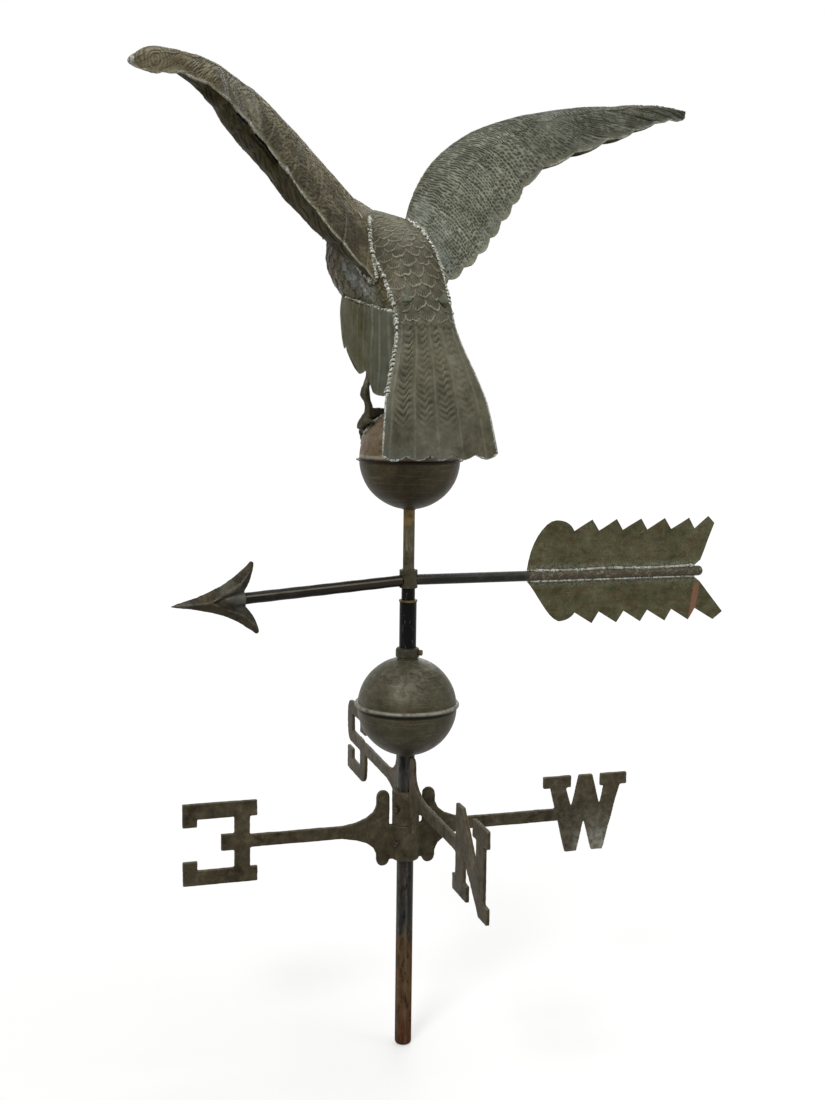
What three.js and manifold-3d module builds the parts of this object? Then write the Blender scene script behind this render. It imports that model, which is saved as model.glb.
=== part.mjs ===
// Eagle weathervane: a hollow copper eagle on a ball, turning with an arrow over fixed N, S, E and W arms.
// Millimetres, +Z up, origin at the centre of the mast rod's foot. N points to -Y and W to +X.
import * as THREE from "three";
import { mergeVertices } from "three/addons/utils/BufferGeometryUtils.js";
import Module from "manifold-3d";

const wasm = await Module();
wasm.setup();

// Fits shared by all pieces
const clearance = 0.3;
const runningClearance = 0.1;
const overrun = 20;
const weld = 0.0001;

// Mast rod, its socket and the bearing in it
const mastDiameter = 19.05;
const mastHeight = 516.3;
const mastFootChamfer = 3;
const socketDiameter = 15.6;
const socketDepth = 110;
const bearingBallDiameter = 12;
const bushLength = 24;
const bushFlangeDiameter = 20.4;
const bushFlangeThickness = 2.2;

// Directional castings
const hubDiameter = 31;
const lowerHubDrop = 35.5;
const lowerHubRise = 5.2;
const upperHubDrop = 37.4;
const upperHubRise = 1;
const hubsBelowMastTop = 294.4;
const lowerHubBottom = mastHeight - hubsBelowMastTop;
const castPlateThickness = 4.4;
const armHeight = 14.6;
const flareReach = 74;
const flareHeight = 28.5;
const lobeNear = 19.2;
const lobeFar = 34.2;
const lobeHeight = 88;
const lobeRise = 1.4;
const letterHeight = 92;
const setScrewDiameter = 6;
const setScrewLength = 9;
const setScrewSlot = 1.2;
const setScrewAngle = (215 * Math.PI) / 180;

// Letters: how far each starts from the mast, and its width
const letterEReach = 169.5;
const letterEWidth = 82;
const letterWReach = 166.4;
const letterWWidth = 105.2;
const letterNReach = 176;
const letterNWidth = 103;
const letterNDrop = 2.6;
const letterSReach = 177.5;
const letterSWidth = 88;

// Copper balls
const ballRadius = 55.5;
const ballWall = 1;
const ballBelowMastTop = 117.9;
const ballAboveArrow = 134;
const ballTubeWall = 1.1;
const beadRadius = 2.1;
const flangeReach = 3.4;
const flangeThickness = 1.6;

// Collar on the lower ball
const collarDiameter = 26.6;
const collarHeight = 11;
const collarScrewDiameter = 4;
const collarScrewHead = 6.4;
const collarScrewHeadLength = 3;
const collarScrewAngle = (-32 * Math.PI) / 180;

// Vane stem and arrow
const stemDiameter = 12.7;
const spacerDiameter = 15.1;
const arrowAboveMast = 24.6;
const arrowHeight = mastHeight + arrowAboveMast;
const arrowHubDiameter = 20.2;
const arrowHubBelow = 8.7;
const arrowHubAbove = 11.6;
const arrowDroop = (4.56 * Math.PI) / 180;
const frontRodDiameter = 12.7;
const rearTubeDiameter = 12;
const rearTubeLength = 354;
const endPlugLength = 6;
const arrowTipReach = 262.8;
const arrowHeadLength = 92.2;
const arrowHeadHalfWidth = 39.5;
const arrowHeadNotch = 77.8;
const arrowHeadNeck = 7.9;
const arrowHeadThickness = 14;
const arrowHeadEdge = 3;
const arrowSocketDepth = 9;

// Middles of the two balls
const lowerBallCentre = mastHeight - ballBelowMastTop;
const upperBallCentre = arrowHeight + ballAboveArrow;

// Fletching sheets
const sheetThickness = 1.2;
const fletchStart = 140;
const fletchLobeLength = 57;
const fletchToothPitch = 30.5;
const fletchToothCount = 5;
const upperFletchHeight = 63;
const upperFletchValley = 50;
const upperFletchTab = 26;
const lowerFletchHeight = 58;
const lowerFletchValley = 44.5;
const lowerFletchTab = 37;
const lowerFletchShift = 3;
const fletchEndRake = 4;

// Eagle: heading, main sizes and sheet
const eagleHeading = (101.6 * Math.PI) / 180;
const copperWall = 1;
const standHeight = 100;
const bodyLength = 200;
const bodyWidth = 90;
const bodyRoundness = 2.5;
const tailLength = 150;
const tailWidth = 140;
const tailScallops = 5;
const tailScallopDepth = 7;
const wingReach = 322;
const wingRibs = 13;
const scallopDepth = 5.5;
const headLength = 118;
const headWidth = 44;
const thighReach = 140;
const thighDrop = 107;
const thighWidth = 36;
const thighForward = 40;
const thighRise = 20;
const thighSpacing = 56;
const kneeSpacing = 60;
const thighNotch = 5;
const shankDiameter = 9;
const ankleDiameter = 12;
const toeDiameter = 8.4;
const toeLength = 24;
const hindToeLength = 22;

// Side outlines of the body from tail to neck, as shares of the body's or tail's length and width.
// Each row holds the back's and the belly's distance forward and height, and the width there.
const tailEndShares = [-0.213, -0.968, -0.187, -0.968, 1];
const tailMiddleShares = [-0.147, -0.56, -0.087, -0.56, 0.86];
const bodyStationShares = [
  [-0.205, -0.042, -0.085, -0.092, 0.79],
  [-0.12, 0.148, 0.05, -0.092, 0.89],
  [-0.03, 0.328, 0.26, -0.042, 0.96],
  [0.1, 0.458, 0.5, 0.038, 1.03],
  [0.26, 0.538, 0.715, 0.178, 1.03],
  [0.42, 0.578, 0.815, 0.373, 0.86],
  [0.56, 0.608, 0.79, 0.508, 0.58],
];

// Wing edges from the root outwards, as shares of the wing's reach: forward, outward and up.
const trailingEdgeShares = [
  [0.031, 0.047, 0.045],
  [0.006, 0.124, 0.101],
  [-0.016, 0.248, 0.207],
  [0.009, 0.373, 0.35],
  [0.022, 0.497, 0.496],
  [-0.062, 0.621, 0.573],
  [-0.161, 0.745, 0.629],
];
const leadingEdgeShares = [
  [0.155, 0.047, 0.294],
  [0.242, 0.124, 0.415],
  [0.304, 0.248, 0.561],
  [0.289, 0.373, 0.657],
  [0.217, 0.497, 0.71],
  [0.106, 0.621, 0.732],
  [-0.043, 0.745, 0.732],
];
// Swelling of the wing's back and underside at the same places and at the tip's three.
const wingSwellShares = [
  [0.025, 0.047],
  [0.031, 0.071],
  [0.05, 0.121],
  [0.059, 0.135],
  [0.059, 0.13],
  [0.05, 0.112],
  [0.034, 0.068],
  [0.022, 0.028],
  [0.014, 0.012],
  [0.006, 0.006],
];
// Hand-bent tips: trailing edge, then leading edge. The left one hangs and is broader.
const leftTipShares = [
  [-0.193, 0.87, 0.66, -0.137, 0.87, 0.731],
  [-0.205, 0.957, 0.651, -0.18, 0.957, 0.724],
  [-0.205, 1.02, 0.666, -0.199, 1.02, 0.685],
];
const rightTipShares = [
  [-0.193, 0.854, 0.667, -0.137, 0.854, 0.732],
  [-0.205, 0.919, 0.691, -0.18, 0.919, 0.724],
  [-0.205, 0.957, 0.707, -0.199, 0.957, 0.719],
];
// How full each wing's back and underside are formed.
const leftFormShares = [0.85, 1];
const rightFormShares = [1, 0.75];
const scallopRootShare = 0.45;

// Head from neck to beak tip: crown and throat forward and up from the neck, and the width.
const headStationShares = [
  [-0.169, 0.085, 0.185, -0.092, 1.18],
  [0.038, 0.177, 0.254, -0.131, 1.05],
  [0.254, 0.246, 0.331, -0.123, 1],
  [0.469, 0.231, 0.438, -0.108, 0.86],
  [0.608, 0.138, 0.546, -0.062, 0.55],
  [0.746, 0.085, 0.646, -0.031, 0.34],
  [0.831, -0.008, 0.723, -0.046, 0.23],
  [0.823, -0.123, 0.792, -0.131, 0.07],
];
const hollowHeadStations = 5;

// Thigh rings from inside the body down: front, back and height as shares of its reach and drop, and
// the width there.
const thighRingShares = [
  [0.42, -0.16, 0.2, 0.6],
  [0.5, -0.46, -0.04, 0.97],
  [0.48, -0.47, -0.355, 0.97],
  [0.43, -0.455, -0.52, 0.92],
  [0.2, -0.42, -0.785, 0.8],
  [-0.02, -0.39, -1.05, 0.62],
];
// Feather tips along the thigh's lower edge: each one's front, back and lowest point.
const thighTipShares = [
  [0.479, 0.43, -0.355],
  [0.43, 0.3, -0.523],
  [0.15, -0.1, -0.785],
  [-0.19, -0.46, -1],
];

// Way from the ball's centre to the left ankle, and the toes' turns from straight ahead.
const ankleShares = [0.47, 0.637, 0.61];
const toeAngles = [-0.55, 0, 0.55, Math.PI];
// Round the toe from the ankle to the claw's tip: how far along, how high its middle and how thick.
const toeRingShares = [
  [-0.08, 0.7, 1.1],
  [0.25, 0.5, 0.95],
  [0.5, 0.6, 0.8],
  [0.66, 0.42, 0.62],
  [0.85, 0.4, 0.42],
  [1, 0.1, 0.14],
];

// Front lobe of each fletching sheet: three guide points of its curve, as shares of length and height.
const upperLobeShares = [[0.05, 0.55], [0.33, 1], [0.6, 1]];
const lowerLobeShares = [[0.2, 0.3], [0.45, 0.85], [0.7, 0.93]];

// Letter outlines as shares of the letter's width, outwards, and of its height, from the middle.
const letterEShares = [
  [0, 0.5], [1, 0.5], [1, 0.215], [0.805, 0.215], [0.805, 0.31], [0.31, 0.31],
  [0.31, 0.105], [0.49, 0.105], [0.49, -0.1], [0.31, -0.1], [0.31, -0.315], [0.805, -0.315],
  [0.805, -0.205], [1, -0.205], [1, -0.5], [0, -0.5], [0, -0.315], [0.1, -0.315],
  [0.1, 0.31], [0, 0.31],
];
const letterWShares = [
  [0, 0.5], [0.327, 0.5], [0.327, 0.347], [0.27, 0.347], [0.341, 0.07], [0.426, 0.5],
  [0.583, 0.5], [0.682, 0.07], [0.728, 0.34], [0.681, 0.34], [0.681, 0.5], [1, 0.5],
  [1, 0.345], [0.915, 0.345], [0.724, -0.5], [0.593, -0.5], [0.491, -0.07], [0.412, -0.5],
  [0.276, -0.5], [0.086, 0.35], [0, 0.35],
];
const letterNShares = [
  [0.082, 0.5], [0.262, 0.5], [0.675, -0.03], [0.685, 0.3], [0.576, 0.3], [0.576, 0.5],
  [0.981, 0.5], [0.981, 0.3], [0.887, 0.3], [0.887, -0.32], [1, -0.32], [1, -0.5],
  [0.777, -0.5], [0.311, -0.005], [0.311, -0.32], [0.413, -0.32], [0.413, -0.5], [0, -0.5],
  [0, -0.32], [0.082, -0.32],
];
const letterSStrokeShare = 0.18;
const letterSStemShare = 0.27;
const letterSTerminalShare = 0.32;
const letterSCornerShare = 0.2;

const materials = {
  iron: { color: 0x3a3532, roughness: 0.75, metalness: 0.6 },
  brass: { color: 0x4d4637, roughness: 0.6, metalness: 0.7 },
  bearing: { color: 0x8a8a86, roughness: 0.3, metalness: 0.9 },
  ball: { color: 0x4a4336, roughness: 0.55, metalness: 0.6 },
  arrow: { color: 0x3f3a31, roughness: 0.6, metalness: 0.6 },
  fletching: { color: 0x474a3a, roughness: 0.65, metalness: 0.5 },
  feather: { color: 0x54513f, roughness: 0.65, metalness: 0.5 },
  wing: { color: 0x4b4c44, roughness: 0.65, metalness: 0.5 },
  leg: { color: 0x403b32, roughness: 0.65, metalness: 0.6 },
};

const root = new THREE.Group();
const vane = new THREE.Group();
root.add(vane);

// Solids

// Turns a closed surface into a solid whose faces point outwards.
function solidOf(geometry) {
  const bare = geometry.clone();
  bare.deleteAttribute("normal");
  bare.deleteAttribute("uv");
  const merged = mergeVertices(bare, weld);
  const place = merged.getAttribute("position");
  const index = merged.index.array;
  const corner = [new THREE.Vector3(), new THREE.Vector3(), new THREE.Vector3()];
  const kept = [];
  let volume = 0;
  for (let i = 0; i < index.length; i += 3) {
    const [a, b, c] = [index[i], index[i + 1], index[i + 2]];
    if (a === b || b === c || c === a) continue;
    kept.push(a, b, c);
    corner[0].fromBufferAttribute(place, a);
    corner[1].fromBufferAttribute(place, b);
    corner[2].fromBufferAttribute(place, c);
    volume += corner[0].dot(corner[1].cross(corner[2]));
  }
  if (volume < 0) kept.reverse();
  return new wasm.Manifold(
    new wasm.Mesh({
      numProp: 3,
      vertProperties: place.array,
      triVerts: new Uint32Array(kept),
    }),
  );
}

function geometryOf(solid) {
  const mesh = solid.getMesh();
  const geometry = new THREE.BufferGeometry();
  geometry.setAttribute("position", new THREE.BufferAttribute(mesh.vertProperties, 3));
  geometry.setIndex(new THREE.BufferAttribute(mesh.triVerts, 1));
  return geometry;
}

// The largest of a solid's separate bodies: a cut can leave a crumb behind.
function mainBody(solid) {
  const bodies = solid.decompose();
  return bodies.reduce((best, body) => (body.volume() > best.volume() ? body : best));
}

function addPiece(parent, name, look, solid) {
  const mesh = new THREE.Mesh(geometryOf(solid), new THREE.MeshStandardMaterial(materials[look]));
  mesh.geometry.computeVertexNormals();
  mesh.name = name;
  parent.add(mesh);
  return mesh;
}

// A solid of revolution about Z from [radius, height] points; a profile off the axis is closed here.
function revolve(profile, segments = 24) {
  const points = profile.map(([radius, height]) => new THREE.Vector2(radius, height));
  const first = profile[0];
  const last = profile[profile.length - 1];
  if (first[0] !== 0 || last[0] !== 0) points.push(points[0].clone());
  return solidOf(new THREE.LatheGeometry(points, segments).rotateX(Math.PI / 2));
}

function ring(outerDiameter, innerDiameter, bottom, top, segments = 24) {
  const outer = outerDiameter / 2;
  const inner = innerDiameter / 2;
  return revolve([[inner, bottom], [outer, bottom], [outer, top], [inner, top]], segments);
}

function rod(diameter, from, to, segments = 20) {
  const along = to.clone().sub(from);
  const shape = new THREE.CylinderGeometry(diameter / 2, diameter / 2, along.length(), segments);
  const turn = new THREE.Quaternion().setFromUnitVectors(
    new THREE.Vector3(0, 1, 0),
    along.clone().normalize(),
  );
  shape.applyQuaternion(turn);
  shape.translate((from.x + to.x) / 2, (from.y + to.y) / 2, (from.z + to.z) / 2);
  return solidOf(shape);
}

// A flat plate standing in the plane of X and Z, centred on that plane.
function plate(shape, thickness, curveSegments = 6) {
  const body = new THREE.ExtrudeGeometry(shape, {
    depth: thickness,
    bevelEnabled: false,
    curveSegments,
  });
  body.translate(0, 0, -thickness / 2);
  body.rotateX(Math.PI / 2);
  return solidOf(body);
}

function outline(points) {
  return new THREE.Shape(points.map(([x, y]) => new THREE.Vector2(x, y)));
}

function gridGeometry(rows, triangles) {
  const geometry = new THREE.BufferGeometry();
  const numbers = rows.flat().flatMap((p) => [p.x, p.y, p.z]);
  geometry.setAttribute("position", new THREE.Float32BufferAttribute(numbers, 3));
  geometry.setIndex(triangles);
  return geometry;
}

// Closes a sheet between two grids of points that face each other.
function sheet(outer, inner) {
  const across = outer[0].length;
  const rows = outer.length;
  const under = rows * across;
  const triangles = [];
  const quad = (a, b, c, d) => triangles.push(a, b, c, a, c, d);
  for (let i = 0; i + 1 < rows; i++)
    for (let j = 0; j + 1 < across; j++) {
      const a = i * across + j;
      quad(a, a + 1, a + across + 1, a + across);
      quad(under + a, under + a + across, under + a + across + 1, under + a + 1);
    }
  const rim = [];
  for (let j = 0; j < across; j++) rim.push(j);
  for (let i = 1; i < rows; i++) rim.push(i * across + across - 1);
  for (let j = across - 2; j >= 0; j--) rim.push((rows - 1) * across + j);
  for (let i = rows - 2; i > 0; i--) rim.push(i * across);
  rim.forEach((a, k) => {
    const b = rim[(k + 1) % rim.length];
    quad(b, a, under + a, under + b);
  });
  return solidOf(gridGeometry([...outer, ...inner], triangles));
}

// A solid through closed rings of points, with a flat fan on each end.
function loft(rings) {
  const around = rings[0].length;
  const triangles = [];
  for (let i = 0; i + 1 < rings.length; i++)
    for (let j = 0; j < around; j++) {
      const a = i * around + j;
      const b = i * around + ((j + 1) % around);
      triangles.push(a, b, b + around, a, b + around, a + around);
    }
  const middle = (list) =>
    list.reduce((sum, p) => sum.add(p), new THREE.Vector3()).divideScalar(list.length);
  const start = rings.length * around;
  const last = (rings.length - 1) * around;
  for (let j = 0; j < around; j++) {
    const next = (j + 1) % around;
    triangles.push(start, next, j);
    triangles.push(start + 1, last + j, last + next);
  }
  const caps = [middle(rings[0]), middle(rings[rings.length - 1])];
  return solidOf(gridGeometry([...rings, caps], triangles));
}

// Moves each point of a grid against its surface normal, on the side away from a guide point.
function offsetGrid(grid, distance, guideOf) {
  return grid.map((row, i) =>
    row.map((point, j) => {
      const before = grid[Math.max(i - 1, 0)][j];
      const after = grid[Math.min(i + 1, grid.length - 1)][j];
      const left = row[Math.max(j - 1, 0)];
      const right = row[Math.min(j + 1, row.length - 1)];
      const along = after.clone().sub(before);
      const normal = along.cross(right.clone().sub(left)).normalize();
      if (normal.dot(point.clone().sub(guideOf(i, j))) < 0) normal.negate();
      return point.clone().addScaledVector(normal, -distance);
    }),
  );
}

// Mast and bearing

const clearBore = (diameter) => diameter + 2 * clearance;
const runningBore = (diameter) => diameter + 2 * runningClearance;

function buildMast() {
  const foot = mastDiameter / 2;
  const socket = socketDiameter / 2;
  const floor = mastHeight - socketDepth;
  const profile = [
    [0, 0],
    [foot - mastFootChamfer, 0],
    [foot - mastFootChamfer / 3, mastFootChamfer / 3],
    [foot, mastFootChamfer],
    [foot, mastHeight],
    [socket, mastHeight],
    [socket, floor],
    [0, floor],
  ];
  addPiece(root, "mast_rod", "iron", revolve(profile, 30));
  const ball = new THREE.SphereGeometry(bearingBallDiameter / 2, 10, 6);
  ball.translate(0, 0, floor + clearance + bearingBallDiameter / 2);
  addPiece(root, "bearing_ball", "bearing", solidOf(ball));
  const bore = runningBore(stemDiameter) / 2;
  const sleeve = socket - clearance;
  const seat = mastHeight + clearance;
  const flange = bushFlangeDiameter / 2;
  const bush = [
    [bore, mastHeight - bushLength],
    [sleeve, mastHeight - bushLength],
    [sleeve, seat],
    [flange, seat],
    [flange, seat + bushFlangeThickness],
    [bore, seat + bushFlangeThickness],
  ];
  addPiece(root, "mast_bush", "brass", revolve(bush, 30));
}

// Directional castings

// Root plate and arm: round lobes above and below, flaring in to a straight bar.
function armShape(length, drop, rise) {
  const half = armHeight / 2;
  const lobe = (lobeFar - lobeNear) / 2;
  const lobeMiddle = lobeNear + lobe;
  const lobeCentre = lobeHeight / 2 - lobe;
  const inside = (hubDiameter + runningBore(mastDiameter)) / 4;
  const bendX = lobeFar + half / 2;
  const bendZ = (half * 3) / 2;
  const shape = new THREE.Shape();
  shape.moveTo(inside, rise);
  shape.lineTo(lobeNear, rise);
  shape.lineTo(lobeNear, lobeRise + lobeCentre);
  shape.absarc(lobeMiddle, lobeRise + lobeCentre, lobe, Math.PI, 0, true);
  shape.lineTo(lobeFar, flareHeight);
  shape.quadraticCurveTo(bendX, bendZ, flareReach, half);
  shape.lineTo(length, half);
  shape.lineTo(length, -half);
  shape.lineTo(flareReach, -half);
  shape.quadraticCurveTo(bendX, -bendZ, lobeFar, -flareHeight);
  shape.lineTo(lobeFar, lobeRise - lobeCentre);
  shape.absarc(lobeMiddle, lobeRise - lobeCentre, lobe, 0, -Math.PI, true);
  shape.lineTo(hubDiameter / 2, -drop);
  shape.lineTo(inside, -drop);
  return shape;
}

function letterShape(shares, reach, width, drop = 0) {
  return outline(shares.map(([x, z]) => [reach + x * width, z * letterHeight - drop]));
}

// Block S with rounded turns; its upper hook is on the side of the mast.
function letterSShape() {
  const near = letterSReach;
  const far = letterSReach + letterSWidth;
  const top = letterHeight / 2;
  const stroke = letterSStrokeShare * letterHeight;
  const stem = letterSStemShare * letterSWidth;
  const hook = letterSTerminalShare * letterHeight;
  const round = letterSCornerShare * letterHeight;
  const middle = stroke / 2;
  const shape = new THREE.Shape();
  shape.moveTo(near, top - hook);
  shape.lineTo(near, top);
  shape.lineTo(far - round, top);
  shape.quadraticCurveTo(far, top, far, top - round);
  shape.lineTo(far, round - middle);
  shape.quadraticCurveTo(far, -middle, far - round, -middle);
  shape.lineTo(near + stem, -middle);
  shape.lineTo(near + stem, stroke - top);
  shape.lineTo(far - stem, stroke - top);
  shape.lineTo(far - stem, hook - top);
  shape.lineTo(far, hook - top);
  shape.lineTo(far, -top);
  shape.lineTo(near + round, -top);
  shape.quadraticCurveTo(near, -top, near, round - top);
  shape.lineTo(near, middle - round);
  shape.quadraticCurveTo(near, middle, near + round, middle);
  shape.lineTo(far - stem, middle);
  shape.lineTo(far - stem, top - stroke);
  shape.lineTo(near + stem, top - stroke);
  shape.lineTo(near + stem, top - hook);
  return shape;
}

// One arm with its letter, turned about the mast by an angle in degrees.
function castingArm(casting, letter, armLength, angle) {
  const arm = plate(armShape(armLength, casting.drop, casting.rise), castPlateThickness, 4);
  return arm.add(plate(letter, castPlateThickness, 4)).rotate([0, 0, angle]);
}

function buildCasting(casting, arms) {
  const { name, drop, rise, centre } = casting;
  let cast = ring(hubDiameter, runningBore(mastDiameter), -drop, rise, 30);
  for (const arm of arms) cast = cast.add(arm);
  const way = new THREE.Vector3(Math.cos(setScrewAngle), Math.sin(setScrewAngle), 0);
  const height = new THREE.Vector3(0, 0, (rise - drop) / 2);
  const seat = (distance) => way.clone().multiplyScalar(distance).add(height);
  const hole = rod(clearBore(setScrewDiameter), seat(0), seat(hubDiameter), 14);
  addPiece(root, name + "_directional", "brass", cast.subtract(hole).translate([0, 0, centre]));
  const innerEnd = mastDiameter / 2 + clearance;
  const screwEnd = seat(innerEnd + setScrewLength);
  const screw = rod(setScrewDiameter, seat(innerEnd), screwEnd, 14);
  const slot = new THREE.BoxGeometry(setScrewSlot * 2, setScrewDiameter * 2, setScrewSlot);
  slot.rotateZ(setScrewAngle);
  slot.translate(screwEnd.x, screwEnd.y, screwEnd.z);
  const slotted = screw.subtract(solidOf(slot)).translate([0, 0, centre]);
  addPiece(root, name + "_set_screw", "iron", slotted);
}

function buildDirectionals() {
  const lowerCentre = lowerHubBottom + lowerHubDrop;
  const eastWest = {
    name: "east_west",
    drop: lowerHubDrop,
    rise: lowerHubRise,
    centre: lowerCentre,
  };
  const northSouth = {
    name: "north_south",
    drop: upperHubDrop,
    rise: upperHubRise,
    centre: lowerCentre + lowerHubRise + clearance + upperHubDrop,
  };
  const letterE = letterShape(letterEShares, letterEReach, letterEWidth);
  const letterW = letterShape(letterWShares, letterWReach, letterWWidth);
  const letterN = letterShape(letterNShares, letterNReach, letterNWidth, letterNDrop);
  const join = armHeight;
  buildCasting(eastWest, [
    castingArm(eastWest, letterE, letterEReach + join, 180),
    castingArm(eastWest, letterW, letterWReach + (join * 4) / 3, 0),
  ]);
  buildCasting(northSouth, [
    castingArm(northSouth, letterN, letterNReach + join, -90),
    castingArm(northSouth, letterSShape(), letterSReach + join / 2, 90),
  ]);
}

// Copper balls

// Half of a hollow ball, open at its pole for a tube; the rim's own lip follows the wall's foot.
function halfBall(up, hole, lip) {
  const steps = 5;
  const outer = [];
  const inner = [];
  const rim = clearance / 2;
  for (let k = 0; k <= steps; k++) {
    const outerStart = Math.asin(rim / ballRadius);
    const outerEnd = Math.acos(hole / ballRadius);
    const innerRadius = ballRadius - ballWall;
    const innerStart = Math.asin(rim / innerRadius);
    const innerEnd = Math.acos(hole / innerRadius);
    const a = outerStart + ((outerEnd - outerStart) * k) / steps;
    const b = innerStart + ((innerEnd - innerStart) * k) / steps;
    outer.push([ballRadius * Math.cos(a), up * ballRadius * Math.sin(a)]);
    inner.push([innerRadius * Math.cos(b), up * innerRadius * Math.sin(b)]);
  }
  return revolve([...lip, ...outer.slice(lip.length ? 1 : 0), ...inner.reverse()], 20);
}

function beadLip() {
  const lip = [];
  const rim = clearance / 2;
  for (let k = 0; k <= 3; k++) {
    const a = -Math.PI / 2 + (Math.PI * k) / 3;
    const out = ballRadius - clearance + beadRadius * Math.cos(a);
    lip.push([out, rim + beadRadius * (1 + Math.sin(a))]);
  }
  return lip;
}

function flangeLip() {
  const rim = clearance / 2;
  const out = ballRadius + flangeReach;
  const foot = Math.sqrt(ballRadius ** 2 - (rim + flangeThickness) ** 2);
  return [
    [ballRadius - ballWall / 2, -rim],
    [out, -rim],
    [out, -rim - flangeThickness],
    [foot, -rim - flangeThickness],
  ];
}

function buildBall(parent, name, centre, core, lips) {
  const tubeInner = clearBore(core);
  const tubeOuter = tubeInner + 2 * ballTubeWall;
  const hole = tubeOuter / 2 + clearance;
  const top = halfBall(1, hole, lips.top).translate([0, 0, centre]);
  const bottom = halfBall(-1, hole, lips.bottom).translate([0, 0, centre]);
  addPiece(parent, name + "_upper_half", "ball", top);
  addPiece(parent, name + "_lower_half", "ball", bottom);
  const tube = ring(tubeOuter, tubeInner, centre - ballRadius, centre + ballRadius, 16);
  addPiece(parent, name + "_inner_tube", "brass", tube);
}

function buildCollar() {
  const bore = clearBore(mastDiameter) / 2;
  const seat = lowerBallCentre + ballRadius + clearance;
  const outer = collarDiameter / 2;
  const round = collarHeight / 3;
  const profile = [[bore, seat], [outer - round / 2, seat]];
  for (let k = 0; k <= 2; k++) {
    const a = (Math.PI / 2) * (k / 2);
    profile.push([outer - round + round * Math.cos(a), seat + collarHeight - round + round * Math.sin(a)]);
  }
  profile.splice(2, 0, [outer, seat + round / 2]);
  profile.push([bore, seat + collarHeight]);
  const way = new THREE.Vector3(Math.cos(collarScrewAngle), Math.sin(collarScrewAngle), 0);
  const middle = new THREE.Vector3(0, 0, seat + collarHeight / 2);
  const place = (distance) => way.clone().multiplyScalar(distance).add(middle);
  const hole = rod(clearBore(collarScrewDiameter), place(bore / 2), place(outer + overrun), 10);
  addPiece(root, "ball_collar", "iron", revolve(profile, 18).subtract(hole));
  const headSeat = outer + clearance;
  const tip = place(mastDiameter / 2 + clearance);
  const shank = rod(collarScrewDiameter, tip, place(headSeat + clearance), 12);
  const head = rod(collarScrewHead, place(headSeat), place(headSeat + collarScrewHeadLength), 16);
  addPiece(root, "collar_screw", "brass", shank.add(head));
}

// Stem, hub and arrow

const axisPoint = (height) => new THREE.Vector3(0, 0, height);
const forwardWay = new THREE.Vector3(-Math.cos(arrowDroop), 0, -Math.sin(arrowDroop));
const alongFront = (distance) =>
  forwardWay.clone().multiplyScalar(distance).add(axisPoint(arrowHeight));
const alongRear = (distance) => new THREE.Vector3(distance, 0, arrowHeight);

function buildStem() {
  const floor = mastHeight - socketDepth;
  const foot = floor + bearingBallDiameter + 2 * clearance;
  const crown = upperBallCentre + ballRadius - clearance;
  addPiece(vane, "vane_stem", "iron", rod(stemDiameter, axisPoint(foot), axisPoint(crown), 30));
  const bushTop = mastHeight + clearance + bushFlangeThickness;
  const hubBottom = arrowHeight - arrowHubBelow;
  const hubTop = arrowHeight + arrowHubAbove;
  const bore = clearBore(stemDiameter);
  const spacer = ring(spacerDiameter, bore, bushTop + clearance, hubBottom - clearance, 20);
  addPiece(vane, "stem_spacer", "iron", spacer);
  const hub = ring(arrowHubDiameter, bore, hubBottom, hubTop, 20);
  const frontHole = rod(clearBore(frontRodDiameter), alongFront(0), alongFront(arrowHubDiameter), 16);
  const rearHole = rod(clearBore(rearTubeDiameter), alongRear(0), alongRear(arrowHubDiameter), 16);
  addPiece(vane, "arrow_hub", "brass", hub.subtract(frontHole).subtract(rearHole));
}

function arrowHeadShape() {
  const tip = arrowTipReach;
  const back = arrowTipReach - arrowHeadLength;
  const notch = arrowTipReach - arrowHeadNotch;
  const wide = arrowHeadHalfWidth;
  const shape = new THREE.Shape();
  const length = arrowHeadLength;
  const front = tip - length * 0.305;
  const middle = tip - length * 0.62;
  const shoulder = tip - length * 0.96;
  const bulge = back + length * 0.015;
  shape.moveTo(tip, 0);
  shape.bezierCurveTo(front, wide * 0.2, middle, wide * 0.24, shoulder, wide);
  shape.lineTo(back, wide * 0.95);
  shape.quadraticCurveTo(bulge, wide * 0.56, notch, arrowHeadNeck);
  shape.lineTo(notch, -arrowHeadNeck);
  shape.quadraticCurveTo(bulge, -wide * 0.56, back, -wide * 0.95);
  shape.lineTo(shoulder, -wide);
  shape.bezierCurveTo(middle, -wide * 0.24, front, -wide * 0.2, tip, 0);
  return shape;
}

// Thick along the middle ridge and thin at the barbs and at the tip.
function arrowHeadSolid() {
  const ridge = arrowHeadThickness / 2;
  const edge = arrowHeadEdge / 2;
  const crest = arrowHeadNeck / 2;
  const wide = arrowHeadHalfWidth + clearance;
  const section = outline([
    [-edge, wide],
    [-ridge, crest],
    [-ridge, -crest],
    [-edge, -wide],
    [edge, -wide],
    [ridge, -crest],
    [ridge, crest],
    [edge, wide],
  ]);
  const reach = arrowTipReach + clearance;
  const bar = new THREE.ExtrudeGeometry(section, { depth: reach, bevelEnabled: false });
  bar.rotateX(Math.PI / 2);
  bar.rotateZ(Math.PI / 2);
  const wedge = new THREE.ExtrudeGeometry(
    outline([
      [0, ridge],
      [arrowTipReach - arrowHeadLength * 0.7, ridge],
      [reach, edge],
      [reach, -edge],
      [arrowTipReach - arrowHeadLength * 0.7, -ridge],
      [0, -ridge],
    ]),
    { depth: 2 * wide, bevelEnabled: false },
  );
  wedge.translate(0, 0, -wide);
  const blank = plate(arrowHeadShape(), arrowHeadThickness + overrun, 7);
  return blank.intersect(solidOf(bar)).intersect(solidOf(wedge));
}

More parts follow.
